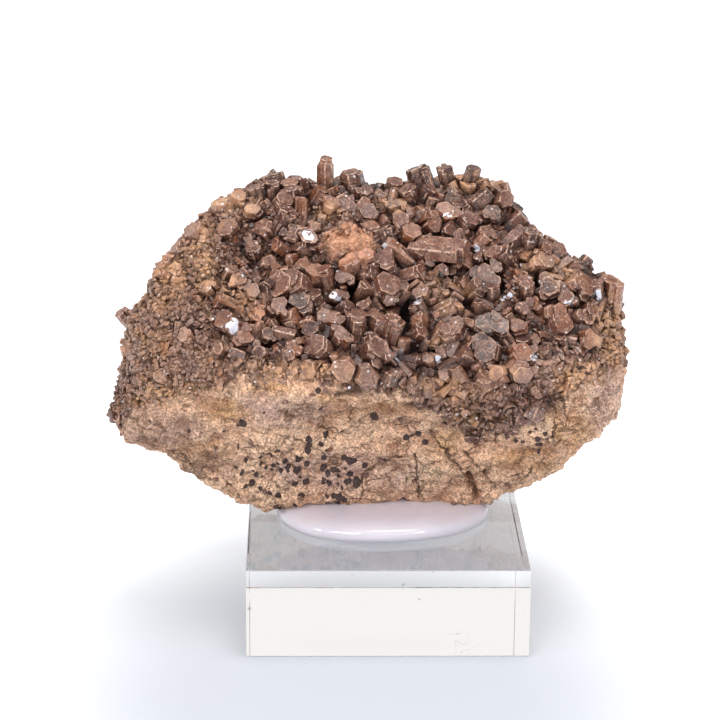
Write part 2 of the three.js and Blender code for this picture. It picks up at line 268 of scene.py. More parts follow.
def makeGrainGroup():  # sandy grain shared by the rock and the crystals
    group, start, end = newGroup(
        "mineralGrain", "ShaderNodeTree",
        {"Place": "Vector", "Grains per metre": "Float"}, {"Grain": "Float", "Pits": "Float"})
    own = {"Vector": start["Place"], "Scale": start["Grains per metre"]}
    coarse = addNode(group, "ShaderNodeTexNoise", {**own, "Detail": 4.0, "Roughness": 0.7})
    cells = addNode(group, "ShaderNodeTexVoronoi", {**own, "Randomness": 1.0})
    pits = remap(group, cells.outputs["Distance"], 0.12, 0.42)
    setInputs(group, end, {"Grain": coarse.outputs["Fac"], "Pits": pits})
    return group


mineralGrain = makeGrainGroup()


def addGroupNode(tree, group, inputs):
    made = addNode(tree, "ShaderNodeGroup", node_tree=group)
    setInputs(tree, made, inputs)
    return made.outputs


def addGrain(tree, place, grainSize):
    made = addGroupNode(tree, mineralGrain, {"Place": place, "Grains per metre": 1 / (grainSize * mm)})
    return made["Grain"], made["Pits"]


def makeStudio(s):
    world = bpy.data.worlds.new("studio")
    scene.world = world
    world.use_nodes = True
    tree = world.node_tree
    place = addNode(tree, "ShaderNodeTexCoord").outputs["Generated"]
    way = addNode(tree, "ShaderNodeSeparateXYZ", {"Vector": place}).outputs
    behind = remap(tree, way["Y"], *s["behindFrom"])
    low = remap(tree, way["Z"], *s["overheadFrom"], 1.0, 0.0)
    colour = coated(tree, s["roundColour"], (behind, low, s["behindColour"]))
    setInputs(tree, tree.nodes["Background"], {"Color": colour})


makeStudio(lighting)

# floor
floorSettings = {
    "reach": 4.0,
    "below": 0.15,
    "colour": (0.42, 0.445, 0.49),
    "paintedGlow": (0.21, 0.90),  # painted light: the floor's glow, dim close before the block as a painted shadow, and bright away from it
    "paintedShadowMiddle": (-0.008, -0.042, 0),
    "paintedShadowShape": (1.35, 1.0, 1.0),
    "paintedShadowFrom": (0.035, 0.119),
    "paintedGlowColour": (0.98, 0.99, 1.0),
    "roughness": 0.6,
}


def makeFloor(s):
    mesh = bpy.data.meshes.new("floor")
    r = s["reach"]
    z = -s["below"] * mm
    mesh.from_pydata([(-r, -r, z), (r, -r, z), (r, r, z), (-r, r, z)], [], [(0, 1, 2, 3)])
    made, tree, shader = newMaterial("paperSweep")
    place = objectPlace(tree)
    # painted light: the floor glows, and less near the block, where this leaves a painted shadow
    shaped = addNode(tree, "ShaderNodeVectorMath", {0: place, 1: s["paintedShadowShape"]}, operation="MULTIPLY")
    away = distanceTo(tree, shaped.outputs["Vector"], s["paintedShadowMiddle"])
    paintedGlow = remap(tree, away, *s["paintedShadowFrom"], *s["paintedGlow"])
    setInputs(tree, shader, {
        "Base Color": (*s["colour"], 1), "Roughness": s["roughness"], "Emission Strength": 1.0,
        "Emission Color": mixColours(tree, paintedGlow, (0.0, 0.0, 0.0), s["paintedGlowColour"]),
    })
    bumped(tree, shader, noiseValue(tree, place, 1.2), 0.05, 0.05)
    mesh.materials.append(made)
    addObject("floor", mesh)


makeFloor(floorSettings)

# the rock's own frame: right, up the display side, towards the viewer
rockFrame = {
    "middle": (-3, 7.7, 44.2),
    "viewTilt": 17.5,
    "eye": (-12.8, 0, 509.7),  # the camera's place in this frame
}
turn = math.radians(90 - rockFrame["viewTilt"])
rockAxes = np.array([
    [1, 0, 0],
    [0, math.cos(turn), math.sin(turn)],
    [0, -math.sin(turn), math.cos(turn)],
])
rockMiddle = np.array(rockFrame["middle"])


def toRock(points):
    return (np.asarray(points) - rockMiddle) @ rockAxes.T


def fromRock(points):
    return np.asarray(points) @ rockAxes + rockMiddle


def facing(up, right):
    a, b = math.radians(up), math.radians(right)
    return np.array([math.cos(a) * math.sin(b), math.sin(a), math.cos(a) * math.cos(b)])


def smoothstep(value, low, high):
    t = np.clip((value - low) / (high - low), 0, 1)
    return t * t * (3 - 2 * t)


crust = {
    "lowerEdge": [
        (-52, -11), (-44.7, -10), (-37.2, -6.3), (-31.6, -5.4), (-26, -3.5), (-14.9, -2.6), (-3.7, -4.5),
        (5.6, -5.4), (11.2, -8.8), (18.6, -13), (24.2, -12.4), (29.8, -9.4), (34.4, -5.5), (40.9, -2.5),
        (52, 2),
    ],  # right, up
    "edgeFade": (-0.5, 2.5),
    "backFade": (-13, -9),
    "height": 1.55,  # of its outside over the rock
    "sunk": 1.5,
}


def cover(places):  # 0 on bare rock, 1 well inside the crystals
    rights, ups = zip(*crust["lowerEdge"])
    right, up = places[..., 0], places[..., 1]
    ragged = 0.9 * np.sin(1.7 * right) * np.cos(0.6 * right + 1) + 0.6 * np.sin(4.1 * right + 2 * up)
    above = smoothstep(up - np.interp(right, rights, ups) + ragged, *crust["edgeFade"])
    return above * smoothstep(places[..., 2], *crust["backFade"])


# Where the small crystals grow: pixels of the middle, half width and half height, and their width in mm
smallZones = [
    (165, 360, 62, 84, 1.25), (180, 250, 46, 60, 1.35), (230, 205, 30, 20, 2.0), (455, 300, 26, 24, 1.9),
    (300, 378, 90, 13, 1.7), (440, 392, 50, 22, 1.7), (565, 372, 60, 24, 1.7), (612, 350, 22, 40, 1.6),
    (425, 285, 18, 16, 1.9), (345, 235, 28, 18, 1.6), (250, 300, 16, 20, 2.0), (560, 270, 22, 16, 2.2),
    (440, 350, 22, 16, 2.1), (250, 372, 40, 14, 1.7), (470, 408, 46, 24, 1.35), (360, 398, 60, 8, 1.6),
]
zoneFade = (0.5, 1.2)
# Open gaps between the crystals, sunk and painted near-black as shade: pixels of the middle, half width and
# half height, and depth in mm
openGaps = [
    (262, 222, 5, 5, 2.6), (277, 241, 5, 6, 2.4), (354, 289, 6, 13, 3.2), (403, 318, 7, 15, 3.0),
    (420, 350, 16, 4, 2.0), (478, 263, 4, 11, 2.6), (504, 236, 4, 14, 2.4), (511, 334, 5, 6, 2.8),
    (588, 283, 7, 11, 2.2), (467, 299, 7, 8, 2.2), (500, 286, 5, 10, 1.8), (537, 284, 4, 9, 2.0),
    (478, 231, 6, 4, 1.6), (323, 273, 4, 7, 1.6), (300, 326, 4, 9, 1.6), (262, 345, 10, 4, 1.8),
    (380, 300, 4, 9, 1.6), (245, 250, 5, 8, 1.4), (424, 240, 8, 3, 1.6), (560, 330, 4, 7, 1.6),
]
# Lumps of crust between the crystals: pixels of the middle, half width and half height, and height in mm
lumps = [
    (350, 247, 25, 14, 2.6), (338, 256, 14, 8, 1.2), (203, 262, 9, 30, 1.3), (236, 207, 22, 8, 1.0),
    (500, 388, 24, 6, 0.8),
]
# Where no crystal is set: ellipses, and how far out of their middles
openings = ((openGaps, 1.4), (lumps[:2], 1.1))
# Crusted patches of another colour on the crystals: kind, pixels of the middle, half width and half height
crusting = [
    ("tan", 204, 262, 14, 42), ("tan", 236, 205, 28, 12), ("tan", 178, 282, 12, 26),
    ("rosy", 165, 262, 10, 16), ("rosy", 350, 247, 28, 17), ("tan", 470, 180, 34, 10),
    ("tan", 150, 300, 20, 16), ("rosy", 120, 350, 9, 14), ("tan", 585, 385, 34, 22),
    ("tan", 300, 372, 60, 10), ("tan", 330, 215, 16, 12), ("rosy", 262, 318, 12, 12),
    ("tan", 395, 205, 18, 9), ("tan", 190, 395, 60, 14), ("tan", 608, 335, 16, 40),
    ("tan", 535, 262, 14, 12), ("tan", 230, 290, 12, 18), ("tan", 505, 372, 26, 8),
]
# Painted highlights, faces near these coloured pale: pixels, and reach in pixels
glints = [
    (232, 326, 6.5), (336, 297, 4), (530, 245, 4), (570, 302, 4.5), (533, 356, 3.5), (398, 356, 3.5),
    (477, 248, 4), (446, 213, 3.5), (560, 353, 2.5), (310, 234, 3), (212, 288, 2.2), (418, 300, 2.5),
    (470, 378, 2.5), (350, 388, 2.5), (244, 276, 2.2), (505, 300, 3), (384, 245, 2.5), (598, 300, 2.5),
    (438, 360, 2.2), (290, 352, 2.5),
]


def ellipseDistance(x, y, ellipse):  # from its middle, 1 on its line
    midX, midY, halfX, halfY = ellipse[:4]
    return np.hypot((x - midX) / halfX, (y - midY) / halfY)


def inEllipse(x, y, ellipse, fade):  # 1 up to the fade's first distance, 0 from its second
    return 1 - smoothstep(ellipseDistance(x, y, ellipse), *fade)


def inEllipses(points, ellipses):  # how far inside the nearest of the pixel ellipses, 0 to 1
    x, y = pixelsOf(points)
    inside = np.zeros(len(points))
    for ellipse in ellipses:
        inside = np.maximum(inside, inEllipse(x, y, ellipse, zoneFade))
    return inside


def crustedWith(kind, points):
    return inEllipses(points, [ellipse for name, *ellipse in crusting if name == kind])


def inOpening(place):
    x, y = pixelsOf(fromRock(place)[None])
    return any(ellipseDistance(x, y, e)[0] < limit for ellipses, limit in openings for e in ellipses)


def nodeMesh(name):  # a merged copy of a node's mesh: points in mm, and triangles
    mesh = bmesh.new()
    mesh.from_mesh(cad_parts[name].data)
    bmesh.ops.remove_doubles(mesh, verts=mesh.verts, dist=1e-6)
    points = np.array([v.co[:] for v in mesh.verts]) / mm
    faces = [[v.index for v in f.verts] for f in mesh.faces]
    mesh.free()
    return points, faces


def addPiece(name, mesh, slot, *nodes):
    piece = addObject(name, mesh)
    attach(piece, "root")
    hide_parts(*nodes)


def storeFloats(mesh, name, values, domain="POINT"):
    made = mesh.attributes.new(name, "FLOAT", domain)
    made.data.foreach_set("value", np.asarray(values, dtype=np.float32))


# the rock
rock = {
    "voxel": 0.54,
    "finerBy": (3.0, 9.0),  # pixels beyond a spot's edge and a crack's line
    "smoothing": 26,
    "bedRise": 0.75,  # of the druse bed under the crystals
    "bedRough": 0.9,
    "waves": [(9.0, 0.9, 3), (3.2, 0.75, 3), (1.35, 0.42, 2)],  # size, height, octaves
    "rough": (2.4, 3),  # size, octaves
    "ledges": (5.5, 0.75),
    "crackStray": 4.0,  # pixels
    "crackWaves": (1.9, 3),
    "crackFade": (0.3, 2.2),  # of its half width
    "crackEdge": 0.5,  # mm
    "crumbs": 1.5,  # height of the lumps where the crystals are small
    "crumbWaves": (2.6, 3),
    "seenFade": (0.02, 0.12),  # cosines of the angle to the view
    "gapFade": (0.8, 1.7),
    "lumpFade": (0.4, 1.3),
    "stainAndShadeFade": (0.45, 1.15),
    "spotFlatness": 1.12,  # a spot's width by its height
    "spotReach": 0.41,  # of its width
    "spotEdge": 0.5,  # mm
    "stainAndShadeKinds": ("pink", "ochre", "pale", "dark", "shaded"),
    "crustKinds": ("tan", "rosy"),
}
# Cracks by the places where they are seen in the picture: half width and depth in mm, then pixels
cracks = [
    (0.16, 0.6, [(361, 499), (361, 486), (363, 474), (372, 468), (386, 462), (399, 457)]),
    (0.14, 0.5, [(414, 452), (416, 462), (416, 478), (419, 496)]),
    (0.16, 0.4, [(431, 430), (438, 444), (448, 456), (458, 468), (468, 476)]),
    (0.55, 1.8, [(467, 475), (472, 483), (475, 492), (478, 505)]),
    (0.16, 0.4, [(464, 452), (474, 462), (485, 473), (492, 482), (500, 489)]),
    (0.12, 0.4, [(318, 428), (333, 431), (350, 432)]),
    (0.12, 0.4, [(497, 432), (492, 440), (480, 446), (466, 452)]),
    (0.14, 0.4, [(545, 392), (552, 404), (556, 420), (553, 436)]),
    (0.12, 0.35, [(560, 396), (566, 410), (568, 428)]),
    (0.10, 0.3, [(160, 452), (176, 455), (190, 462)]),
    (0.14, 0.4, [(215, 470), (228, 482), (240, 497)]),
    (0.12, 0.4, [(508, 474), (520, 480), (532, 470)]),
]
# Black spots by the places where they are seen: pixels, and width in mm
blackSpots = [
    (250, 442, 0.8), (269, 454, 1.5), (278, 450, 1.3), (260, 456, 1.2), (263, 450, 0.7), (261, 464, 0.9),
    (272, 458, 0.9), (285, 460, 1.4), (299, 459, 1.7), (302, 457, 0.9), (278, 463, 1.0), (288, 466, 1.5),
    (266, 468, 1.0), (273, 466, 1.1), (307, 464, 1.5), (309, 446, 1.5), (309, 440, 1.7), (321, 443, 1.3),
    (326, 435, 1.5), (328, 449, 1.6), (324, 458, 1.6), (308, 451, 1.7), (344, 457, 1.6), (349, 459, 1.9),
    (354, 460, 1.5), (365, 466, 1.6), (297, 471, 1.9), (281, 470, 1.2), (272, 471, 1.0), (288, 470, 1.0),
    (256, 474, 1.3), (246, 461, 0.9), (242, 471, 1.1), (236, 467, 1.0), (243, 468, 0.9), (253, 469, 0.9),
    (246, 484, 1.2), (252, 483, 1.5), (261, 486, 1.3), (270, 491, 1.5), (278, 494, 1.6), (301, 494, 1.8),
    (295, 483, 1.7), (306, 482, 1.8), (300, 478, 0.9), (324, 468, 1.6), (334, 470, 1.7), (322, 471, 1.2),
    (328, 473, 1.4), (338, 471, 1.4), (350, 475, 1.8), (357, 483, 2.1), (346, 482, 1.2), (350, 481, 1.0),
    (339, 477, 1.1), (329, 481, 1.4), (323, 482, 1.2), (324, 478, 1.3), (338, 484, 0.8), (342, 487, 0.8),
    (334, 493, 1.3), (327, 493, 1.1), (339, 494, 1.7), (344, 497, 1.7), (338, 500, 1.4), (328, 501, 1.3),
    (336, 499, 1.0), (295, 504, 1.1), (275, 506, 1.1), (280, 509, 1.2), (261, 509, 0.7), (357, 497, 0.8),
    (425, 444, 1.6), (418, 435, 1.6), (406, 438, 1.7), (412, 436, 1.3), (409, 442, 0.7), (382, 436, 0.7),
    (516, 440, 1.1), (523, 441, 1.2), (538, 439, 1.4), (545, 432, 1.3), (539, 447, 1.9), (533, 451, 0.8),
    (539, 454, 0.9), (547, 439, 1.0), (552, 436, 0.9), (530, 432, 0.9), (536, 428, 1.1), (527, 447, 0.7),
    (318, 390, 1.4), (321, 409, 1.3), (375, 420, 1.8), (372, 417, 1.1), (243, 423, 1.9), (238, 425, 1.0),
    (264, 411, 0.8), (189, 432, 1.0), (224, 430, 0.9), (253, 443, 1.0), (570, 352, 2.0), (568, 362, 1.7),
    (573, 374, 1.9), (566, 380, 1.3), (576, 385, 1.1), (562, 346, 1.3), (150, 421, 1.0), (262, 477, 0.8),
]
# Stained patches, with the shaded kind as painted shade: kind, pixels of the middle, half width and half
# height in pixels
stainsAndShades = [
    ("pink", 290, 412, 48, 20), ("pink", 262, 402, 30, 12), ("pink", 395, 470, 32, 22),
    ("pink", 300, 470, 40, 16), ("ochre", 228, 412, 32, 12), ("ochre", 384, 408, 26, 9),
    ("ochre", 330, 398, 20, 7), ("ochre", 572, 432, 30, 24), ("ochre", 515, 460, 30, 12),
    ("ochre", 446, 440, 20, 16), ("ochre", 200, 455, 36, 14), ("ochre", 270, 388, 24, 6),
    ("ochre", 195, 285, 12, 30), ("ochre", 232, 205, 24, 9), ("pink", 150, 345, 24, 18),
    ("ochre", 540, 460, 18, 14), ("pale", 420, 470, 40, 18), ("pale", 545, 412, 14, 26),
    ("pale", 470, 400, 30, 12), ("dark", 526, 404, 40, 17), ("dark", 500, 420, 34, 11),
    ("dark", 545, 392, 24, 10), ("pink", 158, 428, 52, 20), ("shaded", 150, 432, 60, 30),
    ("shaded", 205, 462, 46, 16), ("pink", 604, 392, 22, 46), ("pink", 345, 470, 60, 26),
    ("dark", 430, 405, 40, 6), ("dark", 345, 392, 26, 5), ("dark", 480, 415, 26, 8),
]


def distanceToLine(x, y, line):
    best = np.full(x.shape, 1e9)
    for (x0, y0), (x1, y1) in zip(line, line[1:]):
        dx, dy = x1 - x0, y1 - y0
        along = np.clip(((x - x0) * dx + (y - y0) * dy) / (dx * dx + dy * dy), 0, 1)
        best = np.minimum(best, np.hypot(x - x0 - along * dx, y - y0 - along * dy))
    return best


def fractal(points, size, octaves):
    return np.array([noise.fractal(Vector(p) / size, 0.9, 2.1, octaves) for p in points])


def meshArrays(mesh):
    points = np.empty(len(mesh.vertices) * 3)
    mesh.vertices.foreach_get("co", points)
    normals = np.empty(len(mesh.vertices) * 3)
    mesh.vertices.foreach_get("normal", normals)
    return points.reshape(-1, 3) / mm, normals.reshape(-1, 3)


def fineCopy(name, voxel, smoothing):  # a node's shape in small even faces
    points, faces = nodeMesh(name)
    mesh = bpy.data.meshes.new(name + "Fine")
    mesh.from_pydata((points * mm).tolist(), [], faces)
    blank = addObject(name + "Fine", mesh)
    remesh = blank.modifiers.new("even", "REMESH")
    remesh.mode = "VOXEL"
    remesh.voxel_size = voxel * mm
    smooth = blank.modifiers.new("smooth", "SMOOTH")
    smooth.factor = 0.5
    smooth.iterations = smoothing
    return finishedMesh(blank)


perPixel = 1 / 5.4  # mm on the front of the rock


def refineMarks(mesh, bySpot, byCrack):  # smaller faces where spots and cracks are drawn
    fine = bmesh.new()
    fine.from_mesh(mesh)
    faces = list(fine.faces)
    middles = np.array([f.calc_center_median() for f in faces]) / mm
    x, y = pixelsOf(middles)
    near = np.zeros(len(faces), dtype=bool)
    for spotX, spotY, width in blackSpots:
        near |= np.hypot(x - spotX, y - spotY) < width / 2 / perPixel + bySpot
    for _, _, line in cracks:
        near |= distanceToLine(x, y, line) < byCrack
    near &= ((photoCamera["place"] - middles) * np.array([f.normal[:] for f in faces])).sum(1) > 0
    edges = {e.index for f, chosen in zip(faces, near) if chosen for e in f.edges}
    chosenEdges = [e for e in fine.edges if e.index in edges]
    bmesh.ops.subdivide_edges(fine, edges=chosenEdges, cuts=1, use_grid_fill=True)
    fine.to_mesh(mesh)
    fine.free()


def makeRock(s):
    mesh = fineCopy("matrix", s["voxel"], s["smoothing"])
    refineMarks(mesh, *s["finerBy"])
    points, normals = meshArrays(mesh)
    places = toRock(points)
    covered = cover(places)
    height = np.zeros(len(points))
    for size, amount, octaves in s["waves"]:
        height += amount * fractal(points, size, octaves)
    size, amount = s["ledges"]
    cells = np.array([noise.noise(Vector(p) / size) for p in points + 40])
    height += amount * (np.abs(cells * 3 % 1 - 0.5) - 0.25)
    rough = fractal(points, *s["rough"])
    height += covered * (s["bedRise"] + s["bedRough"] * np.abs(rough))
    crumbled = covered * inEllipses(points, smallZones)
    height += s["crumbs"] * crumbled * fractal(points + 9, *s["crumbWaves"])
    x, y = pixelsOf(points)
    view = np.array(photoCamera["place"]) - points
    view /= np.linalg.norm(view, axis=1, keepdims=True)
    seen = smoothstep((normals * view).sum(1), *s["seenFade"])
    crackMask = np.zeros(len(points))
    strayX = x + s["crackStray"] * fractal(points + 17, *s["crackWaves"])
    strayY = y + s["crackStray"] * fractal(points + 31, *s["crackWaves"])
    for half, depth, line in cracks:
        away = distanceToLine(strayX, strayY, line) * perPixel
        near = (1 - smoothstep(away, *(share * half for share in s["crackFade"]))) * seen
        crackMask = np.maximum(crackMask, (1 - away / (half + s["crackEdge"])) * seen)
        height -= depth * near
    # painted shade: the open gaps are marked for near-black colour
    gapShadeMask = np.zeros(len(points))
    for gap in openGaps:
        inside = inEllipse(x, y, gap, s["gapFade"]) * seen * covered
        gapShadeMask = np.maximum(gapShadeMask, inside)
        height -= gap[-1] * inside
    for lump in lumps:
        inside = inEllipse(x, y, lump, s["lumpFade"]) * seen
        height += lump[-1] * inside * (1 + 0.5 * rough)
        crumbled = np.maximum(crumbled, inside)
    spotMask = np.full(len(points), -1.0)
    for spotX, spotY, width in blackSpots:
        away = np.hypot(x - spotX, (y - spotY) * s["spotFlatness"]) * perPixel
        spotMask = np.maximum(spotMask, np.clip((width * s["spotReach"] - away) / s["spotEdge"], -1, 1))
    spotMask = np.where(seen > 0.5, spotMask, -1)
    masks = {kind: np.zeros(len(points)) for kind in s["stainAndShadeKinds"]}
    for kind, *ellipse in stainsAndShades:
        masks[kind] = np.maximum(masks[kind], seen * inEllipse(x, y, ellipse, s["stainAndShadeFade"]))
    moved = points + normals * height[:, None]
    mesh.vertices.foreach_set("co", (moved * mm).ravel())
    masks.update(cover=covered, crack=crackMask, spot=spotMask, height=height, gap=gapShadeMask)
    masks["crumbled"] = np.clip(crumbled, 0, 1)
    for kind in s["crustKinds"]:
        masks[kind] = crustedWith(kind, points)
    for name, values in masks.items():
        storeFloats(mesh, name, values)
    smoothShaded(mesh)
    mesh.update()
    return mesh


def rockMaterial():
    made, tree, shader = newMaterial("buffMatrix")
    place = objectPlace(tree)
    names = rock["stainAndShadeKinds"] + rock["crustKinds"]
    names += ("cover", "crumbled", "gap", "height", "crack", "spot")
    mask = {name: attribute(tree, name) for name in names}
    broad = noiseValue(tree, place, 11, 3)
    middle = noiseValue(tree, place, 2.6, 5, 0.62)
    grain, pits = addGrain(tree, place, 0.55)
    fine = noiseValue(tree, place, 0.32, 2, 0.6)
    # bare stone with its stains
    colour = mixColours(tree, remap(tree, broad, 0.35, 0.65), (0.84, 0.50, 0.32), (0.93, 0.61, 0.41))
    ochre = times(tree, mask["ochre"], remap(tree, middle, 0.3, 0.62))
    pink = times(tree, mask["pink"], remap(tree, middle, 0.75, 0.35))
    pale = times(tree, mask["pale"], remap(tree, middle, 0.35, 0.7))
    rusty = remap(tree, noiseValue(tree, place, 5.5, 4, 0.6, 0.6), 0.56, 0.72)
    colour = coated(
        tree, colour, (ochre, 0.75, (0.60, 0.32, 0.125)), (pink, 0.8, (0.63, 0.41, 0.345)),
        (pale, 0.6, (0.74, 0.56, 0.36)), (rusty, 0.5, (0.44, 0.22, 0.10)))
    # the bed under the crystals, its dark brown partly painted shade between them, and the open gaps
    # painted near-black as shade
    patchy = remap(tree, middle, 0.3, 0.7)
    bed = mixColours(tree, patchy, (0.050, 0.020, 0.013), (0.17, 0.082, 0.054))
    crumbs = mixColours(tree, patchy, (0.15, 0.072, 0.046), (0.48, 0.275, 0.185))
    bed = coated(
        tree, bed, (mask["crumbled"], 1.0, crumbs), (mask["tan"], 0.75, (0.42, 0.245, 0.135)),
        (mask["rosy"], 0.85, (0.74, 0.36, 0.21)), (mask["gap"], 1.0, (0.020, 0.007, 0.005)))
    bedMask = remap(tree, swayed(tree, mask["cover"], middle, 2.2), 0.15, 0.6)
    dark = times(tree, mask["dark"], remap(tree, middle, 0.25, 0.5))
    # painted shade: the shaded patches
    colour = coated(
        tree, colour, (bedMask, 1.0, bed), (dark, 0.88, (0.125, 0.058, 0.034)),
        (mask["shaded"], 0.6, (0.42, 0.25, 0.17)))
    # sand, bright and dark grains, hair cracks and fissures
    single = cellColours(tree, place, 0.30)["Red"]
    colour = toned(tree, colour, remap(tree, single, 0.0, 1.0, 0.66, 1.34))
    colour = toned(tree, colour, remap(tree, grain, 0.3, 0.7, 0.62, 1.34))
    bright = remap(tree, noiseValue(tree, place, 0.5, 3, 0.7), 0.58, 0.68)
    speck = remap(tree, noiseValue(tree, place, 0.55, 3, 0.7), 0.60, 0.66)
    broken = remap(tree, noiseValue(tree, place, 3.4, 3), 0.50, 0.60)
    fineNet = netOfLines(tree, warped(tree, place, 1.3, 0.0016), 2.1, 0.015, 0.06)
    hairline = times(tree, fineNet, broken)
    coarseNet = netOfLines(tree, warped(tree, place, 3, 0.004), 5.5, 0.012, 0.045)
    fissure = times(tree, coarseNet, remap(tree, broad, 0.46, 0.60))
    colour = coated(
        tree, colour, (bright, 0.45, (0.82, 0.61, 0.49)), (speck, 0.55, (0.20, 0.10, 0.055)),
        (hairline, 0.55, (0.21, 0.105, 0.058)), (fissure, 0.65, (0.17, 0.085, 0.045)))
    # painted shade: darker where the surface lies low
    hollowShade = remap(tree, mask["height"], -0.9, 0.4, 0.45, 1.0)
    colour = toned(tree, colour, mixColours(tree, hollowShade, (0.40, 0.25, 0.17), (1.0, 1.0, 1.0)))
    # the cracks and black spots that the picture shows
    crack = remap(tree, swayed(tree, mask["crack"], middle, 0.9), 0.58, 0.80)
    spot = remap(tree, swayed(tree, mask["spot"], noiseValue(tree, place, 0.6, 2), 0.55), -0.05, 0.22)
    uneven = remap(tree, fine, 0.35, 0.7)
    spotColour = mixColours(tree, uneven, (0.030, 0.014, 0.014), (0.088, 0.052, 0.050))
    colour = coated(tree, colour, (crack, 0.75, (0.12, 0.060, 0.032)), (spot, 0.95, spotColour))
    setInputs(tree, shader, {"Base Color": colour, "Roughness": remap(tree, grain, 0.2, 0.8, 0.95, 0.72)})
    height = plus(tree, grain, pits, -0.35)
    for other, strength in ((fine, 0.4), (middle, 1.4), (plus(tree, fissure, hairline), -0.6)):
        height = plus(tree, height, other, strength)
    bumped(tree, shader, height, 0.9, 0.55)
    return made


rockMesh = makeRock(rock)
rockMesh.materials.append(rockMaterial())
addPiece("matrixRock", rockMesh, "matrix_rock", "matrix")
print("rock:", len(rockMesh.polygons), "faces")

# crystals


def shellTree():  # the outside of the crust, for setting crystals on
    points, faces = nodeMesh("matrix")
    places = toRock(points)
    radii = np.linalg.norm(places, axis=1, keepdims=True)
    lift = -crust["sunk"] + cover(places) * (crust["height"] + crust["sunk"])
    places = places * (1 + lift[:, None] / radii)
    return BVHTree.FromPolygons(places.tolist(), faces), places, np.array(faces)


shell, shellPlaces, shellFaces = shellTree()


def seenAt(right, up):  # the place on the crust seen at [right, up], in the rock's frame
    eye = Vector(rockFrame["eye"])
    hit = shell.ray_cast(eye, (Vector((right, up, 0)) - eye).normalized())
    return np.array(hit[0]) if hit[0] else np.array([right, up, 0.0])


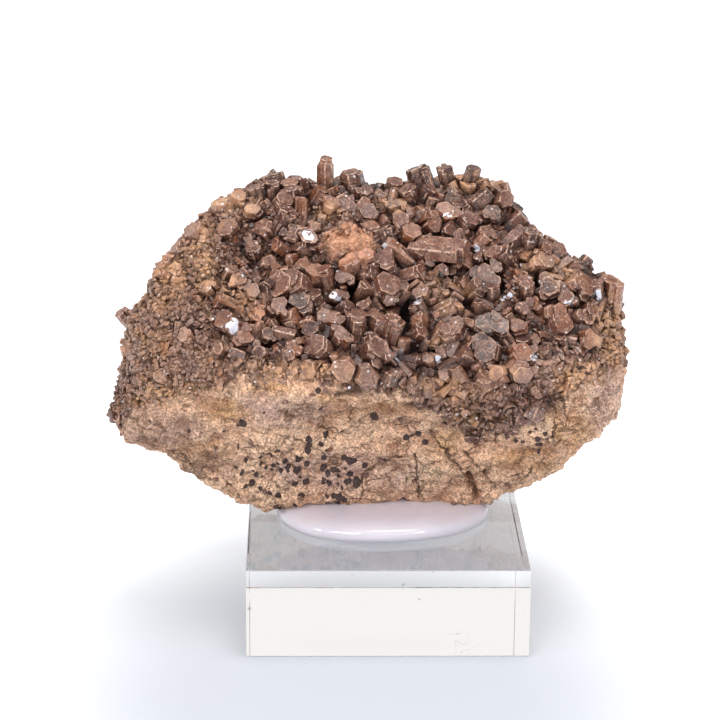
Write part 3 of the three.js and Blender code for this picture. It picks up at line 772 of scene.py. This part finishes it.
# right, up, width across, length, degrees the axis points up, degrees to the right, turn about the axis
largeCrystals = [
    (-8.2, 34.2, 3.6, 8.4, 66, 0, 20), (-10, 31, 3, 5, 55, 50, 0), (-3.3, 34, 4, 5, 62, -20, 10),
    (-14, 31, 3.2, 5, 60, -20, 40), (-1, 31.5, 2.8, 4, 40, 20, 0), (9.4, 33.8, 4, 6.5, 68, -60, 15),
    (4.3, 32.7, 3.4, 4.5, 60, 10, 30), (7.4, 31.4, 3.2, 4.5, 48, -30, 0), (10.8, 31.4, 2.8, 4.5, 50, 40, 5),
    (14.6, 34.8, 2.8, 5, 62, -30, 25), (19, 35, 3.2, 4.5, 60, 30, 0), (22.5, 32.4, 2.8, 4, 40, 50, 20),
    (6.7, 26.6, 4.6, 5, 14, -28, 8), (11.1, 25.6, 4.2, 5, 20, 26, 30), (14.2, 27.8, 4, 5, 35, 0, 12),
    (18.3, 29, 2.4, 4, 30, -40, 0), (22, 27.8, 3.4, 5, 22, 10, 0), (17.8, 26.2, 4, 5, 40, 30, 20),
    (14.2, 24.9, 2.8, 4, 10, 30, 0), (26, 28.8, 3, 4, 40, 40, 10), (29.6, 24.4, 3, 4, 30, 30, 40),
    (44.8, 13.6, 4, 6, 60, 10, 10), (42.2, 13.6, 3.2, 5, 50, -10, 0), (39, 14.2, 4.4, 5.5, 22, 40, 20),
    (37.2, 12, 3.4, 5, 30, -20, 0), (39.6, 8.6, 3.6, 5, 20, 30, 25), (40.2, 4.6, 3.4, 4.5, 0, 30, 0),
    (-24.2, 15.1, 3, 4.5, 24, -16, 5), (-21.8, 13.6, 3.2, 4.5, 12, 10, 0),
    (-21.4, 20.8, 3.4, 4.5, 40, -20, 30), (-19.2, 18.8, 3.2, 4.5, 20, 20, 40),
    (-16.4, 21.8, 2.6, 4, 30, -50, 0), (-13, 17.2, 3.2, 5, 40, 40, 10), (-15, 14.2, 5.4, 6.5, 18, -34, 0),
    (-17, 10.2, 3.6, 5, 30, 10, 20), (-15.2, 8.6, 3, 5, 10, 40, 0), (-12.8, 11, 4.4, 5.5, 34, -8, 15),
    (-21.6, 8.8, 2.6, 4.5, 26, 30, 0), (-25.6, 7.4, 4.4, 6, 34, -42, 0), (-22.8, 6.6, 4, 5.5, -6, 26, 20),
    (-26.4, 11.2, 2.8, 5, 20, -60, 0), (-10.2, 15.6, 4, 5.5, 50, 16, 20),
    (-7.6, 15.4, 3.2, 6.5, 58, -34, 0), (-6.2, 12.6, 3.2, 5, 20, 20, 10), (-2.4, 18.8, 5.2, 5, 42, -14, 25),
    (-6.6, 20, 4, 5, 50, 30, 0), (-4.6, 16.2, 3.6, 4.5, 14, -10, 10), (-0.4, 13.6, 3.4, 5, 46, 30, 15),
    (2.4, 14.4, 5.2, 6, 24, 24, 0), (3.5, 19, 4.2, 5, 36, -20, 20), (0, 17.4, 3.2, 4.5, 10, 40, 0),
    (-9.8, 11.4, 3.8, 5, 50, -30, 30), (-5, 10, 3, 5, 30, 40, 0), (13.4, 20.8, 4.6, 9.5, -6, 70, 0),
    (16.8, 19.6, 4.2, 5, 8, 40, 12), (19.9, 22, 3, 7, 40, 56, 0), (17.6, 23.6, 2.8, 4.5, 20, -30, 15),
    (22.6, 19.8, 4.2, 5.5, 40, -30, 10), (22.1, 16.8, 4.4, 5.5, 12, -8, 25), (20, 13.8, 3.4, 5, 30, 30, 0),
    (14, 10.4, 3, 5, 24, 60, 0), (9.6, 12.2, 3, 4.5, 40, -20, 0), (29.7, 22, 3.6, 7, 62, 20, 12),
    (26.2, 19.6, 4, 6, 40, -46, 0), (32, 18.8, 4.2, 5, 30, 30, 30), (29.2, 13.8, 3.8, 6.5, 52, -12, 0),
    (28.8, 10.6, 3.4, 5, 10, 10, 20), (34.2, 13.8, 4.8, 5.5, 22, -18, 10), (34.4, 9.8, 3.8, 5, 12, 30, 0),
    (31.4, 10.6, 3.2, 4.5, 30, -30, 20), (27.6, 15.8, 2.4, 4.5, 60, 30, 0), (35, 20.8, 3.4, 4, 30, 20, 0),
    (-6.4, 8.2, 4.4, 5, 18, -14, 30), (-2.4, 7.2, 3.6, 6, 58, 10, 0), (-0.6, 10, 2.8, 4.5, 40, -20, 0),
    (-8.8, 2.6, 4.6, 5.5, 30, -36, 12), (-4.8, 0, 4.6, 7, -14, -6, 0), (-0.6, -2, 5.4, 5.5, -6, 8, 20),
    (0.8, 2.4, 4.8, 5.5, 20, 30, 0), (3.4, 5.8, 4.4, 7.5, 60, 24, 10), (3.2, -2, 3, 4.5, -20, 40, 0),
    (-5.6, 4.6, 3.4, 4.5, 40, 16, 20), (-9.8, 0.2, 3.4, 5, -10, -40, 0), (-10, 5.8, 3.6, 5, 30, -20, 15),
    (-13.4, 3, 3.6, 5, 10, -20, 0), (21.8, 6.6, 5, 5.5, 30, 4, 25), (22.4, 2.4, 4.8, 5.5, 12, -24, 0),
    (27.8, 1.6, 3.6, 5, 20, 20, 20), (28.2, -1.4, 4, 5, -12, 10, 0), (28.2, 6, 3.4, 5, 40, -10, 10),
    (35.2, 6.8, 4.4, 5, 24, 20, 0), (24.6, -1.4, 3.4, 5, 0, -30, 15), (16.4, 6, 3.8, 5, 30, -20, 0),
    (-19.3, 24.6, 4, 5, 36, -24, 10), (-16.6, 27.8, 4.4, 5, 50, 40, 0), (-17.9, 32.2, 3, 4.5, 60, -10, 20),
    (-15.1, 23.4, 3.2, 4.5, 20, 20, 0), (-12.6, 20.8, 2.8, 4, 44, -40, 15),
    (-22, 27.8, 3.6, 4.5, 40, 10, 0), (-31.2, 24.4, 3.4, 4, 40, -50, 20), (-27.6, 29, 3, 3.6, 60, -20, 0),
    (-24.2, 30.2, 3.2, 4, 50, 10, 30), (-20.8, 31.6, 3, 4, 60, -40, 0), (-35, 21, 2.6, 3.4, 30, -60, 0),
    (-38.4, 16.4, 2.6, 3.4, 30, -50, 30), (-33.9, 4.8, 2.6, 4, 30, -20, 0), (-23, 4.6, 3.6, 4.5, 20, 0, 10),
    (-26.8, 2.6, 2.6, 4, 20, -40, 20), (-20.8, 2.4, 3.2, 4, 0, 10, 0), (-45.2, 8.8, 2.8, 3.6, 40, -50, 0),
    (-46, -9, 3, 3, -10, -50, 20), (-27.5, -2.8, 2.6, 3.6, 10, 10, 0), (-29.5, 14, 3, 4, 30, -30, 20),
    (-38, -2, 3, 3.6, 10, -30, 0),
]
crystalLooks = {
    "seed": 5,
    "edgeWidth": 0.17,  # mm, of the worn light edges
    "edgeShare": 0.12,  # of the radius at most
    "unevenSides": (0.22, 0.34),  # of large and small crystals
    "flattened": 0.35,
    "hopperShare": 0.14,  # of the caps that are sunk within a rim
    "shoulderShare": 0.2,  # of the caps with sloping faces round them
    "companions": (1, 4),  # crystals grown alongside a large one
    "companionSize": (0.4, 0.85),
    "straying": 0.10,  # of a companion's axis
    "fineAbove": 1.35,  # mm, the radius from which side edges are worn too
    "toneSpread": 0.30,  # between the sides of one crystal
    "stepHeight": 0.06,  # mm, of the growth steps on a large crystal's sides
    "hopperFloor": 0.66,  # its width as a share
    # Drawn at random, each as a start and a change
    "stepAt": (0.5, 0.4),  # of the length
    "stepIn": (0.99, -0.06),
    "shoulderDrop": (0.12, 0.35),  # of the radius
    "shoulderIn": (0.92, -0.3),
    "hopperIn": (0.86, -0.14),
    "hopperDepth": (0.06, 0.18),  # mm
}
fillCrystals = {
    "seed": 11,
    "tries": 14000,
    "usual": (2.1, 4.3),  # widths across, mm
    "spacing": 0.35,  # gap between middles, as a share of the two widths
    "scatter": 2.1,
    "sideways": 0.6,
    "leastCover": 0.35,
    "companions": (0, 2),
    "aloneBelow": 2.2,  # mm, the width under which a crystal has one companion at most
    "pieceNames": ("largeCrystals", "fillCrystals"),
}


def hexagon(radius, uneven, rng):  # corners of a hexagon with 120 degree angles and uneven sides
    away = radius * math.cos(math.pi / 6) * (1 + uneven * (rng.random(6) * 2 - 1))
    corners = []
    for i in range(6):
        a, b = math.radians(60 * i), math.radians(60 * i + 60)
        d, e = away[i], away[(i + 1) % 6]
        corners.append((d * math.sin(b) - e * math.sin(a), e * math.cos(a) - d * math.cos(b)))
    return np.array(corners) / math.sin(math.pi / 3)


def trimmed(corners, cut):  # each corner cut off, for the worn edge
    points = []
    for i in range(6):
        here = corners[i]
        for other in (corners[i - 1], corners[(i + 1) % 6]):
            way = other - here
            side = np.linalg.norm(way)
            points.append(here + way / side * min(cut, 0.4 * side))
    return np.array(points)


def drawn(rng, value):
    start, change = value
    return start + change * rng.random()


class CrystalBatch:  # gathers many crystals into one mesh
    def __init__(self):
        self.points, self.own, self.faces, self.edges, self.tints = [], [], [], [], []

    def add(self, place, axis, turnDegrees, radius, length, tint, rng, s):
        cut = min(s["edgeWidth"], radius * s["edgeShare"])
        fine = radius > s["fineAbove"]
        outer = hexagon(radius, s["unevenSides"][0 if fine else 1], rng)
        if fine:
            outer = trimmed(outer, cut * 1.2)
        else:
            outer *= (1, 1 - s["flattened"] * rng.random())
        top = length / 2
        rings, flags = [(outer, -top)], []
        if fine:
            start, change = s["stepAt"]
            for share in sorted(rng.random(rng.integers(0, 3))):
                at = -top + length * (start + change * share)
                rings.append((outer, at))
                outer = outer * drawn(rng, s["stepIn"])
                rings.append((outer, at + s["stepHeight"]))
                flags += [0.0, 0.8]
        if rng.random() < s["shoulderShare"]:
            rings.append((outer, top - radius * drawn(rng, s["shoulderDrop"])))
            outer = outer * drawn(rng, s["shoulderIn"])
            flags += [0.0]
        rings.append((outer, top - cut * 0.7))
        outer = outer * (1 - cut * 0.9 / radius)
        rings.append((outer, top))
        flags += [0.0, 1.0]
        if rng.random() < s["hopperShare"]:
            rings.append((outer * drawn(rng, s["hopperIn"]), top - 0.01))
            rings.append((outer * s["hopperFloor"], top - drawn(rng, s["hopperDepth"])))
            flags += [0.4, 0.1]
        around = len(outer)
        start = len(self.points)
        spin = Vector((0, 1, 0)).rotation_difference(Vector(axis)).to_matrix()
        spin = np.array(spin @ Matrix.Rotation(math.radians(turnDegrees), 3, "Y"))
        shift = rng.random(3) * 60
        for ring, z in rings:
            local = np.stack([ring[:, 1], np.full(around, z), ring[:, 0]], axis=1)
            self.points.extend((local @ spin.T + place).tolist())
            self.own.extend((local + shift).tolist())
        for level in range(len(rings) - 1):
            tones = tint + s["toneSpread"] * (rng.random(around) - 0.5)
            for i in range(around):
                a, b = start + level * around + i, start + level * around + (i + 1) % around
                self.faces.append((a, b, b + around, a + around))
                self.edges.append(max(flags[level], 1.0 if fine and i % 2 == 0 else 0.0))
                self.tints.append(tones[i])
        last = start + (len(rings) - 1) * around
        self.faces.append(tuple(range(last, last + around)))
        self.faces.append(tuple(range(start + around - 1, start - 1, -1)))
        self.edges += [0.0, 0.0]
        self.tints += [tint + 0.24 * (rng.random() - 0.4), tint]

    def addGroup(self, place, axis, turnDegrees, across, length, tint, companions, rng, s):
        self.add(place, axis, turnDegrees, across / 2, length, tint, rng, s)
        side = np.array(Vector(axis).orthogonal().normalized())
        low, high = s["companionSize"]
        for _ in range(rng.integers(companions[0], companions[1] + 1)):
            angle = rng.random() * 2 * math.pi
            share = low + (high - low) * rng.random()
            beside = side * math.cos(angle) + np.cross(axis, side) * math.sin(angle)
            besidePlace = place + beside * across * (0.52 - share * 0.25 + 0.12 * rng.random())
            besidePlace += axis * (rng.random() - 0.72) * across * 0.35
            besideAxis = axis + s["straying"] * (rng.random(3) - 0.5)
            besideAxis /= np.linalg.norm(besideAxis)
            ownTint = tint + 0.16 * (rng.random() - 0.5)
            self.add(besidePlace, besideAxis, turnDegrees, across / 2 * share, length, ownTint, rng, s)

    def mesh(self, name):
        made = bpy.data.meshes.new(name)
        places = np.array(self.points)
        points = fromRock(places)
        made.from_pydata((points * mm).tolist(), [], self.faces)
        storeFloats(made, "edge", self.edges, "FACE")
        storeFloats(made, "tint", self.tints, "FACE")
        dressCrystals(made, points, places)
        own = made.attributes.new("own", "FLOAT_VECTOR", "POINT")
        own.data.foreach_set("vector", (np.array(self.own) * mm).astype(np.float32).ravel())
        return made


def dressCrystals(mesh, points, places):  # how deep each point lies, and its crusting and glints
    away = np.linalg.norm(places, axis=1)
    shellAway = np.array([shell.ray_cast((0, 0, 0), Vector(p))[0].length for p in places])
    fine = inEllipses(points, smallZones)
    storeFloats(mesh, "fine", fine)
    storeFloats(mesh, "proud", away - shellAway + 1.1 * fine)
    for kind in rock["crustKinds"]:
        storeFloats(mesh, kind, crustedWith(kind, points))
    middles = np.array([points[list(f.vertices)].mean(0) for f in mesh.polygons])
    x, y = pixelsOf(middles)
    front = toRock(middles)[:, 2] > 0
    shining = np.zeros(len(middles))
    for glintX, glintY, reach in glints:
        shining = np.maximum(shining, (np.hypot(x - glintX, y - glintY) < reach) * front)
    storeFloats(mesh, "glint", shining, "FACE")


def smallWidth(place):  # the usual width in mm in a zone of small crystals, or none outside them
    x, y = pixelsOf(fromRock(place)[None])
    return min((zone[-1] for zone in smallZones if ellipseDistance(x, y, zone)[0] < 1), default=None)


def plantCrystals(s, f):
    rng = np.random.default_rng(s["seed"])
    large, small = CrystalBatch(), CrystalBatch()
    placed = []
    for right, up, across, length, axisUp, axisRight, turnDegrees in largeCrystals:
        place = seenAt(right, up)
        placed.append((*place, across))
        axis = facing(axisUp, axisRight)
        large.addGroup(place, axis, turnDegrees, across, length, rng.random(), s["companions"], rng, s)
    rng = np.random.default_rng(f["seed"])
    corners = shellPlaces[shellFaces]
    normals = np.cross(corners[:, 1] - corners[:, 0], corners[:, 2] - corners[:, 0])
    areas = np.linalg.norm(normals, axis=1) * (cover(corners.mean(1)) > 0.2)
    for pick in rng.choice(len(areas), f["tries"], p=areas / areas.sum()):
        a, b = rng.random(2)
        if a + b > 1:
            a, b = 1 - a, 1 - b
        p0, p1, p2 = corners[pick]
        place = p0 + a * (p1 - p0) + b * (p2 - p0)
        scatter = rng.random(3) - 0.5
        slim, tall, tint, spin, sizing, sideways = rng.random(6)
        if cover(place) < f["leastCover"]:
            continue
        limit = smallWidth(place)
        low, high = f["usual"]
        if limit is None:
            across = low + (high - low) * sizing ** 1.3
        else:
            across = limit * (0.7 + 0.6 * sizing)
        others = np.array(placed)
        gaps = np.linalg.norm(others[:, :3] - place, axis=1)
        if (gaps < f["spacing"] * (others[:, 3] + across)).any() or inOpening(place):
            continue
        normal = normals[pick] / np.linalg.norm(normals[pick])
        axis = normal + f["scatter"] * scatter
        if sideways < f["sideways"]:  # seen from its side, as most of them are
            axis *= (1, 1, 0.3)
        axis /= np.linalg.norm(axis)
        placed.append((*place, across))
        sunkPlace = place + normal * (tall - 0.8) * 1.2
        length = across * (1.05 + 0.5 * slim)
        companions = f["companions"] if across > f["aloneBelow"] else (0, 1)
        small.addGroup(sunkPlace, axis, 60 * spin, across, length, tint, companions, rng, s)
    return large, small, placed


def makeGrowthGroup():  # stepped growth over a crystal's faces, with a light line at each step
    group, start, end = newGroup(
        "growthSteps", "ShaderNodeTree",
        {"Place": "Vector", "Patches per metre": "Float", "Steps": "Float"},
        {"Line": "Float", "Height": "Float"})
    hills = addNode(group, "ShaderNodeTexNoise", {
        "Vector": start["Place"], "Scale": start["Patches per metre"],
        "Detail": 2.0, "Roughness": 0.5, "Distortion": 0.4,
    })
    level = times(group, hills.outputs["Fac"], start["Steps"])
    part = calculate(group, "FRACT", level)
    stair = plus(group, calculate(group, "FLOOR", level), remap(group, part, 0.0, 0.25))
    setInputs(group, end, {
        "Line": remap(group, part, 0.04, 0.24, 1.0, 0.0),
        "Height": calculate(group, "DIVIDE", stair, start["Steps"]),
    })
    return group


growthSteps = makeGrowthGroup()


def colourRamp(tree, value, stops):
    ramp = addNode(tree, "ShaderNodeValToRGB", {"Fac": value})
    elements = ramp.color_ramp.elements
    while len(elements) < len(stops):
        elements.new(0.5)
    for element, (position, colour) in zip(elements, stops):
        element.position = position
        element.color = (*colour, 1)
    return ramp.outputs["Color"]


def crystalMaterial():
    made, tree, shader = newMaterial("vanadinite")
    place = objectPlace(tree)
    names = rock["crustKinds"] + ("tint", "fine", "edge", "glint", "proud")
    mask = {name: attribute(tree, name) for name in names}
    own = addNode(tree, "ShaderNodeAttribute", attribute_name="own").outputs["Vector"]
    growth = addGroupNode(tree, growthSteps, {"Place": own, "Patches per metre": 560.0, "Steps": 7.0})
    mottle = noiseValue(tree, own, 1.5, 4, 0.62)
    grain, pits = addGrain(tree, place, 0.28)
    colour = colourRamp(tree, swayed(tree, mask["tint"], mottle, 0.7, clamp=True), [
        (0.0, (0.031, 0.008, 0.005)), (0.22, (0.066, 0.019, 0.012)), (0.5, (0.128, 0.048, 0.031)),
        (0.74, (0.124, 0.038, 0.018)), (0.87, (0.178, 0.049, 0.011)), (1.0, (0.30, 0.133, 0.082)),
    ])
    colour = toned(tree, colour, remap(tree, grain, 0.32, 0.68, 0.5, 1.6))
    # sugary dust and crumbs
    single = cellColours(tree, place, 0.36)
    dust = remap(tree, noiseValue(tree, place, 2.4, 4, 0.65), 0.44, 0.57)
    sugar = mixColours(tree, single["Red"], (0.050, 0.018, 0.011), (0.44, 0.245, 0.168))
    district = remap(tree, noiseValue(tree, place, 5.5, 3), 0.42, 0.58)
    crumbs = mixColours(tree, district, (0.40, 0.245, 0.190), (0.58, 0.305, 0.145))
    dusty = times(tree, dust, remap(tree, mask["fine"], 0.0, 1.0, 0.55, 0.75))
    colour = coated(tree, colour, (mask["fine"], 0.55, crumbs), (dusty, 1.0, sugar))
    colour = toned(tree, colour, remap(tree, single["Green"], 0.0, 1.0, 0.86, 1.15))
    # crusted patches, worn edges and growth lines, then painted highlights as sparkles and glints
    patch = remap(tree, noiseValue(tree, place, 1.3, 4, 0.65), 0.38, 0.60)
    worn = remap(tree, noiseValue(tree, own, 0.8, 3, 0.6), 0.42, 0.58)
    edge = times(tree, mask["edge"], times(tree, worn, 0.95))
    line = times(tree, growth["Line"], times(tree, worn, 0.55))
    light = calculate(tree, "MAXIMUM", edge, line)
    # painted highlights: tiny pale specks as sparkles
    sparkle = remap(tree, single["Blue"], 0.988, 0.992)
    # painted highlight: pale bluish faces near the listed pixels
    glint = times(tree, mask["glint"], remap(tree, noiseValue(tree, own, 1.2, 2), 0.40, 0.47))
    colour = coated(
        tree, colour, (times(tree, mask["tan"], patch), 0.9, (0.64, 0.345, 0.175)),
        (times(tree, mask["rosy"], patch), 0.9, (0.66, 0.30, 0.17)), (light, 1.0, (0.58, 0.35, 0.245)),
        (sparkle, 0.65, (0.85, 0.78, 0.76)), (glint, 1.0, (0.80, 0.80, 0.88)))
    # painted shade: darker the lower a point lies on the crust, and in the seams between the crystals found
    # by ambient occlusion
    depthShade = times(tree, remap(tree, mask["proud"], -0.2, 2.0, 1.0, 0.0), 0.93)
    nook = addNode(tree, "ShaderNodeAmbientOcclusion", {"Distance": 1.7 * mm}, samples=5).outputs["AO"]
    seamShadeStrength = remap(tree, mask["fine"], 0.0, 1.0, 0.96, 0.58)
    seamShade = times(tree, remap(tree, nook, 0.28, 0.74, 1.0, 0.0), seamShadeStrength)
    colour = mixColours(tree, calculate(tree, "MAXIMUM", depthShade, seamShade), colour, (0.030, 0.008, 0.005))
    setInputs(tree, shader, {
        "Base Color": colour, "Roughness": remap(tree, mottle, 0.3, 0.7, 0.28, 0.55), "IOR": 1.65,
    })
    height = plus(tree, growth["Height"], grain, 0.30)
    height = plus(tree, height, times(tree, dusty, single["Red"]), 0.5)
    bumped(tree, shader, plus(tree, height, pits, -0.12), 0.55, 0.24)
    return made


vanadinite = crystalMaterial()
largeBatch, smallBatch, placedCrystals = plantCrystals(crystalLooks, fillCrystals)
for batch, pieceName in zip((largeBatch, smallBatch), fillCrystals["pieceNames"]):
    batchMesh = batch.mesh(pieceName)
    batchMesh.materials.append(vanadinite)
    addPiece(pieceName, batchMesh, "vanadinite", "crystal_crust")
    print(pieceName + ":", len(batchMesh.polygons), "faces")
print("crystals planted:", len(placedCrystals))

# the druse: tiny crystals over the bed, spread by Geometry Nodes
druse = {
    "seed": 3,
    "tintSeed": 9,
    "radius": 0.55,  # mm, before scaling
    "length": 1.4,
    "closest": 0.66,  # mm between crystals
    "perSquareMetre": 2400000.0,
    "smallest": (0.45, 0.30, 0.40),  # scales
    "largest": (1.25, 0.85, 1.15),
    "lean": 0.9,  # radians
    "leastCover": 0.25,
}


def druseTree(s):
    tree, start, end = newGroup(
        "druse", "GeometryNodeTree", {
            "Geometry": "Geometry", "Closest": "Float", "Density": "Float", "Smallest": "Vector",
            "Largest": "Vector", "Lean": "Float", "Seed": "Int",
        }, {"Geometry": "Geometry"})
    points = addNode(tree, "GeometryNodeDistributePointsOnFaces", {
        "Mesh": start["Geometry"], "Distance Min": start["Closest"],
        "Density Max": start["Density"], "Seed": start["Seed"],
    }, distribute_method="POISSON").outputs
    crystal = addNode(tree, "GeometryNodeMeshCylinder", {
        "Vertices": 6, "Radius": s["radius"] * mm, "Depth": s["length"] * mm,
    })
    corner = addNode(tree, "GeometryNodeInputPosition").outputs[0]
    own = addNode(tree, "GeometryNodeStoreNamedAttribute", {
        "Geometry": crystal.outputs["Mesh"], "Name": "own", "Value": corner,
    }, data_type="FLOAT_VECTOR", domain="POINT")
    back = times(tree, start["Lean"], -1.0)
    low = addNode(tree, "ShaderNodeCombineXYZ", {"X": back, "Y": back, "Z": 0.0})
    high = addNode(tree, "ShaderNodeCombineXYZ", {"X": start["Lean"], "Y": start["Lean"], "Z": 3.14})
    lean = addNode(tree, "FunctionNodeRandomValue", {
        0: low.outputs[0], 1: high.outputs[0], "Seed": start["Seed"],
    }, data_type="FLOAT_VECTOR")
    turned = addNode(tree, "FunctionNodeRotateRotation", {
        0: points["Rotation"], 1: lean.outputs[0],
    }, rotation_space="LOCAL")
    size = addNode(tree, "FunctionNodeRandomValue", {
        0: start["Smallest"], 1: start["Largest"],
    }, data_type="FLOAT_VECTOR")
    instances = addNode(tree, "GeometryNodeInstanceOnPoints", {
        "Points": points["Points"], "Instance": own.outputs["Geometry"],
        "Rotation": turned.outputs[0], "Scale": size.outputs[0],
    })
    tint = addNode(tree, "FunctionNodeRandomValue", {"Seed": s["tintSeed"]}, data_type="FLOAT")
    tinted = addNode(tree, "GeometryNodeStoreNamedAttribute", {
        "Geometry": instances.outputs["Instances"], "Name": "tint", "Value": tint.outputs[1],
    }, data_type="FLOAT", domain="INSTANCE")
    real = addNode(tree, "GeometryNodeRealizeInstances", {"Geometry": tinted.outputs["Geometry"]})
    coat = addNode(tree, "GeometryNodeSetMaterial", {
        "Geometry": real.outputs["Geometry"], "Material": vanadinite,
    })
    setInputs(tree, end, {"Geometry": coat.outputs["Geometry"]})
    return tree


def druseBed(s):  # the covered part of the rock, without its ragged edge and the openings
    bed = bmesh.new()
    bed.from_mesh(rockMesh)
    layer = bed.verts.layers.float["cover"]
    bare = []
    for f in bed.faces:
        middle = f.calc_center_median() / mm
        least = s["leastCover"] * (1 + 1.6 * noise.noise(middle / 1.6))
        if min(v[layer] for v in f.verts) < least or inOpening(toRock(np.array(middle))):
            bare.append(f)
    bmesh.ops.delete(bed, geom=bare, context="FACES")
    mesh = bpy.data.meshes.new("druseBed")
    bed.to_mesh(mesh)
    bed.free()
    return mesh


def growDruse(s):
    holder = addObject("druseBed", druseBed(s))
    modifier = holder.modifiers.new("druse", "NODES")
    modifier.node_group = druseTree(s)
    values = {
        "Closest": s["closest"] * mm, "Density": s["perSquareMetre"], "Smallest": s["smallest"],
        "Largest": s["largest"], "Lean": s["lean"], "Seed": s["seed"],
    }
    for item in modifier.node_group.interface.items_tree:
        if item.in_out == "INPUT" and item.name in values:
            modifier[item.identifier] = values[item.name]
    made = finishedMesh(holder)
    made.name = "druseCrystals"
    points, _ = meshArrays(made)
    dressCrystals(made, points, toRock(points))
    addPiece("druseCrystals", made, "vanadinite", "crystal_crust")
    return made


druseMesh = growDruse(druse)
print("druse:", len(druseMesh.polygons), "faces")

# the glue pad
gluePad = {
    "halfWidth": 19.8,
    "halfDepth": 13.6,
    "rise": 3.3,
    "middle": (-0.6, 2.0),
    "top": 16.5,
    "sunk": 0.04,  # mm into the block, so no air shows between them
    "fullness": 3.6,
    "rings": 36,
    "sides": 144,
    "waves": [(3, 0.02, 1.0), (5, 0.015, 0.0)],
}


def makeGlue(s):
    points, faces = [(0, 0, -s["sunk"])], []
    for ring in range(s["rings"] + 1):
        inward = math.cos(ring / (s["rings"] + 1) * math.pi / 2)
        rise = s["rise"] * (1 - inward ** s["fullness"]) ** (1 / s["fullness"]) if ring else -s["sunk"]
        for side in range(s["sides"]):
            angle = 2 * math.pi * side / s["sides"]
            reach = inward * (1 + sum(h * math.sin(n * angle + shift) for n, h, shift in s["waves"]))
            right, back = s["halfWidth"] * math.cos(angle), s["halfDepth"] * math.sin(angle)
            points.append((reach * right, reach * back, rise))
    points.append((0, 0, s["rise"]))
    for side in range(s["sides"]):
        beside = (side + 1) % s["sides"]
        faces.append((0, 1 + beside, 1 + side))
        for ring in range(s["rings"]):
            a, b = 1 + ring * s["sides"] + side, 1 + ring * s["sides"] + beside
            faces.append((a, b, b + s["sides"], a + s["sides"]))
        last = 1 + s["rings"] * s["sides"]
        faces.append((last + side, last + beside, len(points) - 1))
    mesh = bpy.data.meshes.new("gluePad")
    shift = np.array([*s["middle"], s["top"]])
    mesh.from_pydata(((np.array(points) + shift) * mm).tolist(), [], faces)
    smoothShaded(mesh)
    return mesh


def glueMaterial():
    made, tree, shader = newMaterial("hotMeltGlue")
    place = objectPlace(tree)
    cloud = remap(tree, noiseValue(tree, place, 9, 3), 0.3, 0.7)
    setInputs(tree, shader, {
        "Base Color": mixColours(tree, cloud, (0.66, 0.62, 0.69), (0.71, 0.67, 0.735)),
        "Roughness": remap(tree, noiseValue(tree, place, 3, 2), 0.3, 0.7, 0.02, 0.04),
        "IOR": 1.48,
        "Specular IOR Level": 0.8,
        "Subsurface Weight": 0.35,
        "Subsurface Radius": (1.0, 0.85, 0.9),
        "Subsurface Scale": 0.004,
        # painted light: a faint glow standing in for light passing through the glue
        "Emission Color": (0.93, 0.90, 1.0, 1),
        "Emission Strength": 0.05,
    })
    bumped(tree, shader, noiseValue(tree, place, 9, 1), 0.06, 0.4)
    return made


glueMesh = makeGlue(gluePad)
glueMesh.materials.append(glueMaterial())
addPiece("gluePad", glueMesh, "hot_melt_glue", "glue_pad")
print("glue pad ready")

# the clear block
clearBlock = {"width": 50.8, "depth": 50.8, "height": 16.5, "edge": 0.12, "segments": 2}
# Dust and chips on the front of the block: mm to the right and up, and their reach
blockMarks = [
    (2.6, 13.8, 0.30), (2.5, 13.1, 0.20), (5.5, 11.0, 0.28), (-4.4, 9.8, 0.16), (12.3, 4.3, 0.18),
    (-24.8, 9.2, 0.45), (7.9, 16.2, 0.18), (-6.5, 15.6, 0.14),
]
scratched = (15.0, 1.8, 7.0)  # the scraped patch, likewise


def makeBlock(s):
    mesh = bmesh.new()
    bmesh.ops.create_cube(mesh, size=1)
    for v in mesh.verts:
        v.co = Vector((v.co.x * s["width"], v.co.y * s["depth"], (v.co.z + 0.5) * s["height"])) * mm
    bmesh.ops.bevel(
        mesh, geom=mesh.edges[:], offset=s["edge"] * mm, segments=s["segments"],
        profile=0.5, affect="EDGES")
    made = bpy.data.meshes.new("clearBlock")
    mesh.to_mesh(made)
    mesh.free()
    return made


def onBlockFront(tree, place, right, up, reach):  # 1 near a place on the front, 0 beyond the reach
    away = distanceTo(tree, place, (right * mm, -clearBlock["depth"] / 2 * mm, up * mm))
    return remap(tree, away, 0.6 * reach * mm, reach * mm, 1.0, 0.0)


def acrylicMaterial():
    made, tree, shader = newMaterial("clearAcrylic")
    place = objectPlace(tree)
    curl = calculate(tree, "ABSOLUTE", calculate(tree, "SUBTRACT", noiseValue(tree, place, 4.5, 1), 0.5))
    scrape = times(tree, remap(tree, curl, 0.002, 0.007, 1.0, 0.0), onBlockFront(tree, place, *scratched))
    marks = times(tree, scrape, 0.5)
    for mark in blockMarks:
        marks = calculate(tree, "MAXIMUM", marks, onBlockFront(tree, place, *mark))
    setInputs(tree, shader, {
        "Base Color": coated(tree, (0.985, 0.99, 0.995), (marks, 0.75, (0.30, 0.31, 0.33))),
        "Roughness": remap(tree, noiseValue(tree, place, 14, 4, 0.6), 0.5, 0.75, 0.0, 0.06),
        "Transmission Weight": 1.0,
        "IOR": 1.49,
    })
    upright = addNode(tree, "ShaderNodeMapping", {"Vector": place, "Scale": (1, 1, 14)}).outputs["Vector"]
    scratch = addNode(tree, "ShaderNodeTexNoise", {"Vector": upright, "Scale": 120.0, "Detail": 5.0})
    bumped(tree, shader, scratch.outputs["Fac"], 0.02, 0.1)
    return made


blockMesh = makeBlock(clearBlock)
blockMesh.materials.append(acrylicMaterial())
addPiece("clearBlock", blockMesh, "clear_acrylic", "display_block")
print("block ready")
